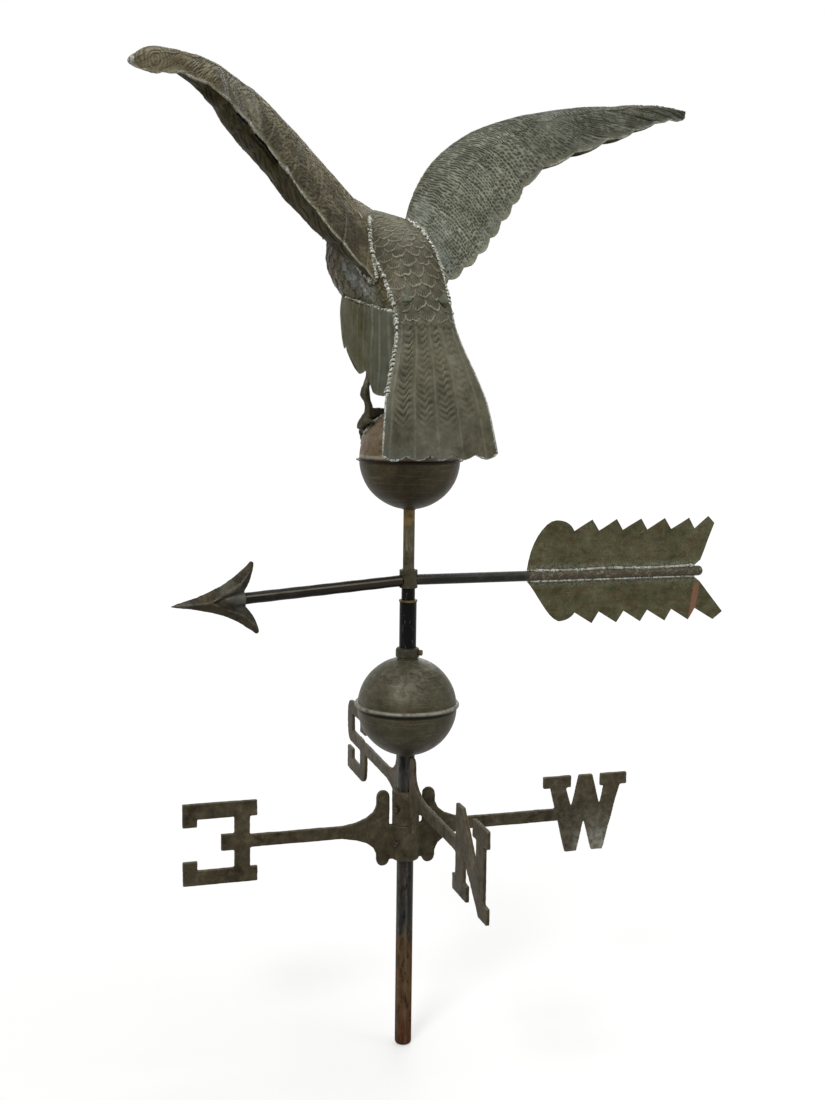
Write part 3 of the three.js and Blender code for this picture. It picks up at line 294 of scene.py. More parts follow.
def bead(name, path, radius, key, seed, step=0.8, around=10, crust=0.35, dab=0.0):
    """A run of solder along a line of points; dab is the length of one dab between dark cracks."""
    path = np.asarray(path, float)
    length = run_length(path)
    count = max(int(length[-1] / step), 6)
    s = np.linspace(0, length[-1], count)
    line = np.stack([np.interp(s, length, path[:, k]) for k in range(3)], 1)
    rough = 1 + crust * 0.7 * lumps(line, 2.2, seed) + crust * 0.5 * lumps(line, 7, seed + 1)
    size = radius * np.clip(rough, 0.35, 1.7) * np.sqrt(np.clip(np.minimum(s, s[-1] - s) / (2 * radius) + 0.05, 0, 1))
    grid, angle = tube_around(line, size, around, [0.31, 0.52, 0.79])
    grid = grid + (grid - line[:, None]) * (0.28 * crust * lumps(grid, 1.3, seed + 2))[..., None]
    crack = np.zeros(grid.shape[:2])
    if dab:
        turn_ = s[:, None] / dab + 0.3 * np.cos(angle + 0.7)[None] + 0.35 * lumps(line, 9, seed + 4)[:, None]
        crack = smooth(np.abs(turn_ - np.floor(turn_) - 0.5), 0.29, 0.39)
        crack = crack * smooth(lumps(line, 8, seed + 5), -0.9, -0.2)[:, None]
        grid = grid - (grid - line[:, None]) * (0.3 * crack)[..., None]
    ends = np.stack([line[0], line[-1]])
    n, m = grid.shape[:2]
    first, last = np.arange(m), (n - 1) * m + np.arange(m)
    caps = np.concatenate([np.stack([np.roll(first, -1), first, np.full(m, n * m)], -1),
                           np.stack([last, np.roll(last, -1), np.full(m, n * m + 1)], -1)])
    points = np.concatenate([grid.reshape(-1, 3), ends])
    add_mesh(name, points, turned_out(points, [quads(n, m, True), caps]), "vane", key, sharp=80,
             fields={"gap": np.concatenate([crack.ravel(), [0, 0]])})


def new_skin(mesh, voxel, rounds):
    """An even, softened skin around a mesh, with its points in mm and its normals."""
    holder = bpy.data.objects.new("rough_form", mesh)
    bpy.context.scene.collection.objects.link(holder)
    remesh = holder.modifiers.new("form", "REMESH")
    remesh.mode, remesh.voxel_size = "VOXEL", voxel / 1000
    soften = holder.modifiers.new("soften", "SMOOTH")
    soften.factor, soften.iterations = 0.5, rounds
    bpy.context.view_layer.update()
    skin = bpy.data.meshes.new_from_object(holder.evaluated_get(bpy.context.evaluated_depsgraph_get()))
    bpy.data.objects.remove(holder)
    return skin, read_points(skin, "co") * 1000, read_points(skin, "normal")


def fused(parts, voxel, rounds):
    """One closed skin around overlapping closed parts, as a mesh with its points and normals in mm."""
    verts, faces, offset = [], [], 0
    for p, rows in parts:
        p = np.asarray(p, float).reshape(-1, 3)
        verts.append(p)
        for row in turned_out(p, rows):
            faces += [tuple(int(c) + offset for c in f) for f in row]
        offset += len(p)
    rough = bpy.data.meshes.new("rough_form")
    rough.from_pydata([tuple(v) for v in np.concatenate(verts) / 1000], [], faces)
    return new_skin(rough, voxel, rounds)


def from_node(name, node, body, key, voxel, rounds, uneven, seed, adapt=None):
    """A CAD node's shape with worn, rounded edges and a slightly uneven face."""
    mesh, p, normal = new_skin(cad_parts[node].data.copy(), voxel, rounds)
    mesh.name = name
    p = p + normal * ((lumps(p, 3, seed) * 0.6 + lumps(p, 14, seed + 1)) * uneven)[:, None]
    set_points(mesh, adapt(p) if adapt else p)
    for layer in [a.name for a in mesh.attributes if a.name.startswith("UV")]:
        mesh.attributes.remove(mesh.attributes[layer])
    mesh.update()
    finish_piece(name, mesh, body, key, (node,), 60)


# Materials

def colour(r, g, b):
    def linear(c):
        c /= 255
        return c / 12.92 if c <= 0.04045 else ((c + 0.055) / 1.055) ** 2.4
    return (linear(r), linear(g), linear(b), 1.0)


class Value:
    """A number that varies over a surface, which can be reckoned with like any other."""

    def __init__(self, look, socket):
        self.look, self.socket = look, socket

    def __add__(self, other):
        return self.look.math("ADD", self, other)

    def __sub__(self, other):
        return self.look.math("SUBTRACT", self, other)

    def __mul__(self, other):
        return self.look.math("MULTIPLY", self, other)

    def __abs__(self):
        return self.look.math("ABSOLUTE", self)

    __radd__, __rmul__ = __add__, __mul__


class Nodes:
    """Short words for building one tree of nodes; a colour is three numbers from 0 to 255."""

    def __init__(self, owner):
        owner.use_nodes = True
        self.tree = owner.node_tree
        self.tree.nodes.clear()

    def make(self, kind, inputs=None, **settings):
        node = self.tree.nodes.new(kind)
        for key, value in settings.items():
            setattr(node, key, value)
        for key, value in (inputs or {}).items():
            self.put(node.inputs[key], value)
        return node

    def put(self, socket, value):
        value = value.socket if isinstance(value, Value) else value
        if isinstance(value, bpy.types.NodeSocket):
            self.tree.links.new(value, socket)
        else:
            socket.default_value = value

    def math(self, op, a, b=0.0, clamp=False):
        node = self.make("ShaderNodeMath", {0: a, 1: b}, operation=op, use_clamp=clamp)
        return Value(self, node.outputs[0])

    def band(self, value, low, high):
        """0 where the value is at or past low, 1 at or past high, and smooth between."""
        return Value(self, self.make("ShaderNodeMapRange", {0: value, 1: low, 2: high, 3: 0.0, 4: 1.0},
                                     interpolation_type="SMOOTHSTEP").outputs[0])

    def mix(self, fac, a, b, mode="MIX"):
        node = self.make("ShaderNodeMix", data_type="RGBA", blend_type=mode)
        for place, value in ((0, fac), (6, a), (7, b)):
            self.put(node.inputs[place], colour(*value) if isinstance(value, tuple) and len(value) == 3 else value)
        return node.outputs[2]


class Look(Nodes):
    """A material, its surface places in mm and its closing shader."""

    def __init__(self, name):
        self.material = bpy.data.materials.new(name)
        super().__init__(self.material)
        place = self.make("ShaderNodeTexCoord").outputs["Object"]
        self.mm = self.vector("SCALE", place, scale=1000.0)
        self.split = [Value(self, way) for way in self.make("ShaderNodeSeparateXYZ", {0: self.mm}).outputs]

    def vector(self, op, a, b=(0, 0, 0), scale=1.0):
        node = self.make("ShaderNodeVectorMath", {0: a, 1: b}, operation=op)
        if op == "SCALE":
            self.put(node.inputs["Scale"], scale)
        return node.outputs[0]

    def noise(self, size, detail, rough, squeeze=None, warp=0.0):
        """Noise with features about size mm across, drawn out along the ways that are squeezed."""
        place = self.vector("MULTIPLY", self.mm, squeeze) if squeeze else self.mm
        return Value(self, self.make("ShaderNodeTexNoise", {
            "Vector": place, "Scale": 1.0 / size, "Detail": detail, "Roughness": rough,
            "Distortion": warp}).outputs[0])

    def spots(self, size, detail, rough, low, high, **noise):
        """Noise cut to spots: 0 where it is at or past low and 1 at or past high."""
        return self.band(self.noise(size, detail, rough, **noise), low, high)

    def times(self, base, r, g, b):
        return self.mix(1.0, base, (r, g, b, 1), "MULTIPLY")

    def value(self, name):
        return Value(self, self.make("ShaderNodeAttribute", attribute_name=name).outputs["Fac"])

    def close(self, base, rough, height, metallic=0.3, specular=0.12):
        bump = self.make("ShaderNodeBump", {"Strength": 1.0, "Distance": 0.001, "Height": height})
        shader = self.make("ShaderNodeBsdfPrincipled", {
            "Base Color": base, "Roughness": rough, "Metallic": metallic, "Normal": bump.outputs[0],
            "Specular IOR Level": specular})
        self.make("ShaderNodeOutputMaterial", {0: shader.outputs[0]})
        return self.material


def patina(name, deep, body, bright, accent=None, accent_share=0.5, rough=0.52, metallic=0.3, grain=1.0,
           feather=None, extra=None, warm=(84, 72, 52), cool=(104, 110, 106), specular=0.12):
    """Aged copper or brass: clouds of three tones, an accent tone in patches and a fine grain.

    A formed sheet also gives feather, the strength of its marks in colour and in mm of depth.
    """
    k = Look(name)
    clouds = k.noise(55, 4, 0.6) * 0.5 + k.noise(11, 5, 0.65) * 0.5
    base = k.mix(k.band(clouds, 0.36, 0.52), deep, body)
    base = k.mix(k.band(clouds, 0.5, 0.68), base, bright)
    if accent:
        patch = k.spots(26, 5, 0.7, 0.72 - 0.32 * accent_share, 0.86 - 0.3 * accent_share, warp=0.6)
        base = k.mix(patch * 0.75, base, accent)
    fine = k.noise(1.1, 4, 0.7)
    speck = k.noise(3.2, 4, 0.7)
    base = k.mix(k.band(speck, 0.5, 0.78), base, k.times(base, 1.5, 1.48, 1.42))
    base = k.mix(k.band(fine, 0.56, 0.36) * 0.45, base, k.times(base, 0.5, 0.5, 0.48))
    height = fine * (0.1 * grain) + speck * (0.28 * grain)
    if feather:
        ink, depth = feather
        tone = k.value("tone")
        base = k.mix(k.math("MULTIPLY", tone, 1.0, clamp=True), base, warm)
        base = k.mix(k.math("MULTIPLY", tone, -1.0, clamp=True), base, cool)
        rel = k.value("rel")
        mark = k.value("mark") * (0.72 + k.band(speck, 0.35, 0.6) * 0.28)
        base = k.mix(mark * ink, base, k.times(base, 0.14, 0.135, 0.115))
        height = height - mark * depth
        # Relief below zero is painted darker: painted shade in hollows and under the rims of scales and feathers.
        # Raised relief is paler where rubbed.
        low = k.math("MULTIPLY", rel, -1.0, clamp=True)
        high = k.math("MULTIPLY", rel, 1.0, clamp=True)
        base = k.mix(low, base, k.times(base, 0.3, 0.29, 0.26))
        rub = high * k.spots(6, 4, 0.7, 0.3, 0.62)
        base = k.mix(rub, base, tuple(min(c + 46, 200) for c in body))
        tin = k.value("solder")
        crust = k.noise(2.4, 5, 0.75)
        tin = k.band(tin + (crust - 0.5) * 1.5, 0.42, 0.85)
        base = k.mix(tin * 0.85, base, k.mix(k.band(crust, 0.35, 0.62), (96, 96, 90), (186, 189, 184)))
        height = height + tin * crust * 0.5
    if extra:
        base = extra(k, base)
    gloss = rough - 0.12 + k.noise(8, 4, 0.65) * 0.26
    return k.close(base, gloss, height, metallic, specular)


def solder_look(name="solder_crust", pale=(208, 208, 197), dark=(98, 97, 86), pit=0.4):
    k = Look(name)
    spots = k.noise(2.4, 5, 0.7, warp=0.4)
    patch = k.noise(13, 3, 0.6)
    base = k.mix(k.band(spots, 0.4, 0.52), dark, k.mix(k.band(patch, 0.3, 0.6), (150, 149, 136), pale))
    holes = k.spots(2.9, 3, 0.6, pit, pit - 0.05)
    base = k.mix(holes, base, (14, 14, 11))
    base = k.mix(k.value("gap") * 0.95, base, (16, 15, 12))
    height = spots * 0.7 - holes * 0.6
    return k.close(base, 0.62, height, 0.25)


def iron_look():
    """Dark rod: chipped black paint on the sleeve at the top, bare dark iron with a painted highlight line down the
    side that faces the key lamp, rust at the foot.
    """
    k = Look("rod_iron")
    z = k.split[2]
    stretched = (1.0, 1.0, 0.22)
    streak = k.noise(5, 5, 0.7, squeeze=stretched)
    blotch = k.noise(9, 5, 0.7)
    fine = k.noise(1.3, 5, 0.75)
    base = k.mix(k.band(streak, 0.38, 0.66), (14, 15, 16), (44, 43, 40))
    base = k.mix(k.band(blotch, 0.62, 0.74) * 0.5, base, (82, 76, 64))
    run = k.noise(7, 6, 0.72, squeeze=(1.0, 1.0, 0.35), warp=0.5)
    rust = k.mix(k.band(run, 0.38, 0.58), (44, 33, 23), (98, 74, 44))
    rust = k.mix(k.band(z, 62.0, 10.0) * 0.75, rust, (78, 42, 22))
    rust = k.mix(k.band(streak, 0.54, 0.68), rust, (104, 58, 28))
    rust = k.mix(k.spots(2.1, 5, 0.75, 0.54, 0.7) * 0.55, rust, (34, 27, 21))
    rust = k.mix(k.spots(6, 4, 0.7, 0.62, 0.74) * 0.7, rust, (128, 112, 90))
    edge = z + (blotch - 0.5) * 60.0
    rusty = k.band(edge, 152.0, 118.0)
    under = k.band(abs(z - 196.0), 34.0, 6.0) * k.band(blotch, 0.46, 0.6)
    base = k.mix(k.math("MAXIMUM", rusty, under * 0.3), base, rust)
    # Painted highlight: a patchy paler upright line down the side of the rod that faces the key lamp
    shine = k.split[0] * 0.6 + k.split[1] * 0.8
    worn = k.band(abs(shine + 8.2), 1.6, 0.3) * k.band(streak, 0.36, 0.56)
    base = k.mix(worn * 0.3, base, (120, 118, 112))
    sleeve = k.band(z, 461.0, 463.0)
    chips = k.spots(4.2, 5, 0.72, 0.6, 0.64, squeeze=stretched)
    paint = k.mix(chips, (5, 5, 5), k.mix(k.band(fine, 0.4, 0.6), (50, 48, 40), (104, 98, 84)))
    base = k.mix(sleeve, base, paint)
    height = fine * 0.16 + blotch * 0.3
    height = height + rusty * k.noise(2.6, 5, 0.75) * 0.8
    height = height - sleeve * chips * 0.25
    rough = 0.34 + rusty * 0.4
    return k.close(base, rough, height, 0.1, 0.09)


def ball_extra(centre):
    """Thin scratches, faint turned lines, dark pits and dust specks; painted shade on the underside and just under
    the seam's lip, a paler seam as dust and painted highlight, and a painted highlight patch on the front of the
    upper half.
    """
    def work(k, base):
        z = k.split[2]
        line = k.noise(2.2, 2, 0.5, squeeze=(0.05, 0.05, 1.6))
        base = k.mix(k.band(line, 0.56, 0.7) * 0.28, base, (124, 116, 98))
        scratch = k.spots(3.4, 2, 0.5, 0.735, 0.75, warp=3.0)
        base = k.mix(scratch * 0.6, base, (140, 136, 122))
        dot = k.spots(2.6, 1, 0.4, 0.3, 0.26)
        base = k.mix(dot * 0.6, base, (34, 30, 23))
        # Painted shade: the lower part of the ball is darkened
        below = k.band(z, centre + 4.0, centre - 40.0)
        base = k.mix(below * 0.5, base, k.times(base, 0.5, 0.48, 0.43))
        # Painted shadow: a dark band at and just under the lip at the seam
        base = k.mix(k.band(abs(z - (centre - 1.2)), 2.4, 1.0), base, (26, 24, 17))
        # Dust and painted highlight: a patchy paler band just above the seam, on the top of its lip
        seam_dust_and_highlight = k.band(abs(z - (centre + 3.6)), 2.2, 0.8) * k.spots(9, 5, 0.75, 0.3, 0.55)
        base = k.mix(seam_dust_and_highlight * 0.7, base, (150, 148, 134))
        # Painted highlight: a patchy paler patch on the upper front of the ball
        worn = k.vector("SUBTRACT", k.mm, (-13.0, -43.0, centre + 30.0))
        worn = k.make("ShaderNodeVectorMath", {0: worn}, operation="LENGTH").outputs["Value"]
        worn = k.band(worn, 34.0, 4.0) * k.spots(6, 5, 0.7, 0.35, 0.6)
        base = k.mix(worn * 0.4, base, (128, 124, 108))
        dust = k.band(z, centre + 6.0, centre + 50.0) * k.spots(7, 5, 0.7, 0.45, 0.7)
        base = k.mix(dust * 0.35, base, (138, 134, 120))
        return base
    return work


def cast_extra(k, base):
    """Grey wear on the W side, streaks along the arms, paler edges as wear and painted highlight, and darker hollows
    as painted shade.
    """
    x, z = k.split[0], k.split[2]
    cloud = k.noise(16, 6, 0.75, warp=0.8)
    letter = k.band(x, 150.0, 240.0) * k.band(z + cloud * 60.0, 310.0, 262.0)
    arm = k.band(x, 30.0, 60.0) * k.band(cloud, 0.44, 0.66)
    wear = k.math("MAXIMUM", letter, arm * 0.45) * k.spots(5, 6, 0.75, 0.3, 0.66)
    base = k.mix(wear * 0.7, base, (126, 124, 112))
    tips = k.band(x, 200.0, 215.0) * k.band(z + cloud * 24.0, 254.0, 236.0) * k.spots(4, 6, 0.8, 0.38, 0.6)
    base = k.mix(tips * 0.75, base, (158, 157, 148))
    # Pointiness: convex edges painted paler, as edge wear and painted highlight; hollows painted darker, as painted
    # shade
    edge = k.make("ShaderNodeNewGeometry").outputs["Pointiness"]
    base = k.mix(k.band(edge, 0.515, 0.56) * 0.5, base, (120, 114, 98))
    base = k.mix(k.band(edge, 0.485, 0.44) * 0.6, base, (30, 27, 21))
    return base


def fletch_extra(k, base):
    """Red-brown stains, pale drips and brush strokes, and a bright copper patch at the lower tail tab."""
    streak = k.noise(7, 5, 0.7, squeeze=(0.35, 1.0, 1.0))
    base = k.mix(k.band(streak, 0.5, 0.64) * 0.75, base, (76, 56, 40))
    base = k.mix(k.spots(4.5, 6, 0.78, 0.55, 0.68) * 0.55, base, (46, 44, 30))
    pale = k.noise(5, 6, 0.8, squeeze=(0.5, 1.0, 1.3), warp=0.6)
    base = k.mix(k.band(pale, 0.61, 0.68) * 0.6, base, (138, 132, 108))
    thread = abs(k.noise(17, 3, 0.6, warp=2.2) - 0.5)
    thread = k.band(thread, 0.007, 0.003) * k.spots(21, 2, 0.5, 0.5, 0.58)
    base = k.mix(thread * 0.6, base, (134, 124, 92))
    x, z = k.split[0], k.split[2]
    lean = x - (z - (ARROW_Z - 30.0)) * 0.16
    stripe = k.band(abs(lean - 352.0), 4.6, 3.4) * k.band(z, ARROW_Z - 11.0, ARROW_Z - 17.0)
    base = k.mix(stripe * k.spots(8, 4, 0.6, 0.25, 0.5), base, (124, 90, 70))
    near = abs(z - ARROW_Z)
    smear = k.band(near, 17.0, 7.0) * k.spots(3.5, 6, 0.8, 0.42, 0.6)
    base = k.mix(smear * 0.6, base, (136, 136, 124))
    return base


def stem_extra(k, base):
    """An ochre patch below the ball and pale upright scratches."""
    z = k.split[2]
    ochre = k.band(z, 596.0, 606.0) * k.spots(7, 4, 0.7, 0.4, 0.55)
    base = k.mix(ochre * 0.7, base, (128, 104, 62))
    line = k.noise(3.2, 3, 0.6, squeeze=(1.0, 1.0, 0.12))
    return k.mix(k.band(line, 0.6, 0.68) * 0.5, base, (136, 130, 110))


def painted_highlight_and_shade(k, base, above, tone, strength):
    """A patchy paler line along the upper side of a rod, a painted highlight, and its underside painted darker as
    painted shade; above is the height over its axis.
    """
    streak = k.noise(9, 4, 0.65, squeeze=(0.16, 1.0, 1.0))
    line = k.band(abs(above - 2.9), 1.3, 0.3) * k.band(streak, 0.3, 0.58)
    base = k.mix(line * strength, base, tone)
    # Painted shade below the rod's axis
    return k.mix(k.band(above, -1.5, -4.0), base, k.times(base, 0.45, 0.43, 0.4))


def rod_extra(k, base):
    """Browner toward the hub, black toward the head, with a painted highlight line along the top and painted shade
    beneath.
    """
    x, z = k.split[0], k.split[2]
    above = z - (ARROW_Z + x * math.tan(math.radians(4.56)))
    base = k.mix(k.band(x, -150.0, -30.0) * 0.6, base, (52, 44, 33))
    return painted_highlight_and_shade(k, base, above, (150, 145, 128), 0.42)


def tube_extra(k, base):
    """Paler, flecked copper between the fletching sheets, with a painted highlight line along the top and painted
    shade beneath.
    """
    x = k.split[0]
    base = painted_highlight_and_shade(k, base, k.split[2] - ARROW_Z, (96, 93, 81), 0.3)
    between = k.band(x, 132.0, 150.0)
    fleck = k.spots(4, 6, 0.8, 0.5, 0.62, warp=0.8)
    paler = k.mix(fleck, (72, 66, 52), (128, 120, 98))
    return k.mix(between * 0.85, base, paler)


look = {
    "rod": iron_look(),
    "stem": patina("stem_brass", (52, 48, 34), (82, 76, 58), (104, 98, 78), (96, 72, 40), 0.4, extra=stem_extra),
    "front_rod": patina("front_rod", (8, 7, 5), (17, 15, 11), (38, 35, 27), (60, 54, 42), 0.2, rough=0.3,
                        grain=0.5, metallic=0.1, specular=0.14, extra=rod_extra),
    "rear_tube": patina("rear_tube", (15, 15, 12), (27, 26, 22), (54, 52, 44), (116, 112, 96), 0.25, rough=0.36,
                        metallic=0.15, specular=0.2, extra=tube_extra),
    "hub": patina("hub_brass", (40, 35, 26), (66, 60, 46), (100, 92, 72), (34, 30, 24), 0.4),
    "bush": patina("bush_brass", (60, 52, 34), (96, 84, 56), (130, 116, 80)),
    "screw": patina("screw_steel", (48, 44, 37), (74, 68, 58), (104, 98, 84)),
    "bearing": patina("bearing_steel", (120, 120, 118), (150, 150, 148), (176, 176, 172), metallic=0.9, rough=0.35,
                      grain=0.2),
    "collar": patina("collar_brass", (34, 32, 26), (58, 54, 44), (92, 86, 70), (120, 116, 104), 0.3),
    "arrow": patina("arrow_copper", (30, 27, 19), (56, 52, 40), (84, 79, 63), (58, 43, 30), 0.4, rough=0.44,
                    metallic=0.3, feather=(0.4, 0.1)),
    "cast": patina("cast_brass", (48, 43, 31), (76, 69, 54), (104, 97, 79), (52, 39, 26), 0.45,
                   grain=1.2, rough=0.5, metallic=0.15, specular=0.05, extra=cast_extra),
    "lower_ball": patina("lower_ball", (54, 51, 37), (72, 69, 53), (90, 87, 72), (68, 49, 33), 0.4,
                         grain=0.35, rough=0.46, extra=ball_extra(LOWER_BALL)),
    # The upper ball gets two copies of one patina: the top half's is lighter and redder, as painted light from above,
    # and the lower half's darker, as painted shade.
    "upper_ball_top": patina("upper_ball_top", (80, 67, 50), (108, 91, 70), (130, 121, 102), (112, 74, 52), 0.5,
                             grain=0.35, rough=0.46, extra=ball_extra(UPPER_BALL)),
    "upper_ball_low": patina("upper_ball_low", (48, 43, 29), (66, 59, 42), (84, 77, 60), (70, 50, 34), 0.4,
                             grain=0.35, rough=0.46, extra=ball_extra(UPPER_BALL)),
    "fletch": patina("fletching", (60, 61, 41), (84, 83, 60), (107, 104, 80), (90, 69, 47), 0.5,
                     grain=0.9, extra=fletch_extra),
    "back": patina("back_copper", (68, 66, 52), (93, 90, 73), (114, 112, 96), (84, 67, 51), 0.4,
                   feather=(0.8, 0.15)),
    "breast": patina("breast_copper", (60, 55, 38), (88, 82, 58), (114, 108, 84), (104, 78, 44), 0.5,
                     cool=(134, 137, 130),
                     feather=(0.85, 0.15)),
    "wing_right": patina("wing_cool", (86, 88, 74), (112, 114, 99), (134, 137, 124), (88, 81, 63), 0.25,
                         feather=(0.9, 0.15), warm=(88, 82, 66), cool=(100, 106, 104)),
    "wing_left": patina("wing_brown", (80, 74, 54), (112, 106, 82), (142, 136, 110), (98, 79, 52), 0.4,
                        feather=(0.9, 0.15)),
    "wing_under": patina("wing_under", (42, 39, 20), (66, 61, 33), (102, 95, 52), (96, 80, 42), 0.5,
                         specular=0.02, metallic=0.05,
                         feather=(0.86, 0.2)),
    "thigh": patina("thigh_copper", (60, 58, 36), (79, 77, 51), (97, 96, 74), (86, 82, 60), 0.3, specular=0.05,
                    feather=(0.7, 0.15)),
    "head": patina("head_copper", (62, 58, 44), (88, 84, 68), (114, 110, 96), (80, 64, 46), 0.35,
                   feather=(0.8, 0.15)),
    "leg": patina("leg_copper", (42, 39, 28), (66, 62, 47), (100, 97, 80), (118, 117, 104), 0.3),
    "gap": patina("seam_shadow", (7, 6, 5), (12, 11, 8), (20, 18, 14), specular=0.02, metallic=0.0),
    "solder": solder_look(),
    "solder_dull": solder_look("solder_dull", pale=(146, 145, 132), dark=(70, 68, 56), pit=0.38),
    "solder_bright": solder_look("solder_bright", pale=(188, 190, 182), dark=(92, 92, 80), pit=0.36),
    "solder_line": solder_look("solder_line", pale=(150, 152, 142), dark=(96, 95, 82), pit=0.24),
}

# Mast, stem, collar and small fittings

rod = rounded_profile([[0, 0], [MAST_R, 0], [MAST_R, MAST_TOP]], 4.0, 6)[:-1]
rod += [[MAST_R, z] for z in np.linspace(8, MAST_TOP - 0.6, 60)]
SOCKET_R, SOCKET_FLOOR = 7.8, 406.3
rod += [[MAST_R - 0.6, MAST_TOP], [SOCKET_R, MAST_TOP], [SOCKET_R, SOCKET_FLOOR], [0, SOCKET_FLOOR]]
turned("mast_rod_worn", rod, "mast", "rod", ("mast_rod",))
turned("vane_stem_worn", rounded_profile([[0, 418.9], [STEM_R, 418.9], [STEM_R, 730.1], [0, 730.1]], 0.8), "vane",
       "stem", ("vane_stem",))
spacer = ([[6.65, 519.1], [7.1, 519.1], [7.55, 519.6]] + [[7.55, z] for z in np.linspace(520, 531, 8)]
          + [[7.1, 531.9], [6.65, 531.9]])
turned("stem_spacer_worn", spacer, "vane", "rod", ("stem_spacer",))
seat = LOWER_BALL + BALL_R + 0.3
collar = [[9.825, seat], [12.4, seat], [13.1, seat + 0.7], [13.3, seat + 2], [13.3, seat + 7]]
collar += [[9.7 + 3.6 * math.cos(a), seat + 7.4 + 3.6 * math.sin(a)] for a in np.linspace(0.1, 1.52, 8)]
turned("ball_collar_worn", collar + [[9.825, seat + 11]], "mast", "collar", ("ball_collar",))

way = Vector((math.cos(math.radians(-32)), math.sin(math.radians(-32)), 0))
turn = Vector((0, 0, 1)).rotation_difference(way).to_matrix().to_4x4()
knob = [[0, 9.9], [1.9, 9.9], [1.9, 13.6], [3.0, 13.6], [3.3, 14.2]]
knob += [[3.3 - 0.25 * (k % 2), 14.2 + 0.3 * k] for k in range(1, 9)] + [[2.9, 17.0], [0, 17.2]]
turned("collar_thumb_screw", knob, "mast", "bush", ("collar_screw",),
       segments=40, place=Matrix.Translation((0, 0, seat + 5.5)) @ turn, sharp=30)

for node, key in (("bearing_ball", "bearing"), ("mast_bush", "bush"), ("lower_ball_inner_tube", "bush"),
                  ("upper_ball_inner_tube", "bush"), ("east_west_set_screw", "screw"),
                  ("north_south_set_screw", "screw")):
    for slot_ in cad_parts[node].material_slots:
        slot_.material = look[key]

# Balls: two spun halves each

def half_ball(name, centre, up, hole, lip, key, body, node, seed):
    """One spun half, 1 mm thick, with a hole at its pole and a lip at the seam."""
    outer, inner = [], []
    rim = 0.15
    for k in range(61):
        w = k / 60
        a = math.asin(rim / BALL_R) + (math.acos(hole / BALL_R) - math.asin(rim / BALL_R)) * w
        b = math.asin(rim / (BALL_R - 1)) + (math.acos(hole / (BALL_R - 1)) - math.asin(rim / (BALL_R - 1))) * w
        outer.append([BALL_R * math.cos(a), up * BALL_R * math.sin(a)])
        inner.append([(BALL_R - 1) * math.cos(b), up * (BALL_R - 1) * math.sin(b)])
    drop = [p for p in outer if abs(p[1]) > (abs(lip[-1][1]) if lip else 0)]
    profile = [[r, z + centre] for r, z in lip + drop + inner[::-1]]
    turned(name, profile, body, key, (node,), segments=160, wobble=0.22, seed=seed, sharp=32)


bead_lip = [[BALL_R + 0.6 + 2.5 * math.cos(a), 0.15 + 2.5 * (1 + math.sin(a))] for a in np.linspace(-1.5, 1.5, 15)]
flange_lip = [[BALL_R - 0.5, -0.15], [BALL_R + 2.9, -0.15], [BALL_R + 3.3, -0.4], [BALL_R + 3.4, -0.95],
              [BALL_R + 3.2, -1.5], [BALL_R + 2.7, -1.75], [BALL_R + 0.4, -1.8]]
LOWER_HOLE, UPPER_HOLE = 11.2, 8.05
half_ball("lower_ball_top", LOWER_BALL, 1, LOWER_HOLE, bead_lip, "lower_ball", "mast", "lower_ball_upper_half",
          11)
half_ball("lower_ball_bottom", LOWER_BALL, -1, LOWER_HOLE, [], "lower_ball", "mast", "lower_ball_lower_half",
          12)
# The upper ball's top half takes the lighter copy of its patina and its lower half the darker one: painted light and
# painted shade.
half_ball("upper_ball_top", UPPER_BALL, 1, UPPER_HOLE, [], "upper_ball_top", "vane", "upper_ball_upper_half",
          13)
half_ball("upper_ball_bottom", UPPER_BALL, -1, UPPER_HOLE, flange_lip, "upper_ball_low", "vane",
          "upper_ball_lower_half", 14)

# Castings

def keep_bore(p):
    """Sets the bore of a casting just off the mast."""
    r = np.hypot(p[:, 0], p[:, 1])
    near = r < 11.6
    p = p.copy()
    p[near, :2] *= ((MAST_R + 0.255) / r[near])[:, None]
    return p


for seed, ways in ((21, "east_west"), (22, "north_south")):
    from_node(ways + "_casting", ways + "_directional", ways + "_arms", "cast", 0.95, 3, 0.13, seed,
              keep_bore)

# Arrow

droop = math.radians(4.56)
front = Matrix.Translation((0, 0, ARROW_Z)) @ Matrix.Rotation(-math.pi / 2 - droop, 4, "Y")
stretch = [[6.35 + 0.12 * math.sin(x * 0.21), x] for x in np.linspace(8.2, 190.6, 60)]
turned("arrow_front_rod_worn", [[0, 7.0]] + stretch + [[0, 191.6]], "vane", "front_rod", ("arrow_front_rod",),
       segments=64, place=front)
rear = Matrix.Translation((0, 0, ARROW_Z)) @ Matrix.Rotation(math.pi / 2, 4, "Y")
tube = ([[0.02, 7.0], [5.6, 7.0], [6.0, 7.6]] + [[6.0, x] for x in np.linspace(12, 353.2, 90)]
        + [[5.7, 353.9], [4.0, 353.9], [4.0, 140.2], [0.02, 140]])
turned("arrow_rear_tube_worn", tube, "vane", "rear_tube", ("arrow_rear_tube",), segments=64,
       place=rear)
plug = [[0, 342.4], [3.6, 342.4], [3.7, 354.3], [5.6, 354.3], [6.0, 354.8], [5.9, 356.4], [5.0, 358.8], [3.4, 360.0],
        [0, 360.3]]
turned("arrow_end_plug_worn", plug, "vane", "rear_tube", ("arrow_end_plug",), segments=48, place=rear)
from_node("arrow_hub_cast", "arrow_hub", "vane", "hub", 0.55, 2, 0.08, 32)


HEAD_LONG, HEAD_WIDE, HEAD_NOTCH, HEAD_NECK, TIP_REACH = 92.2, 39.5, 77.8, 7.9, 262.8


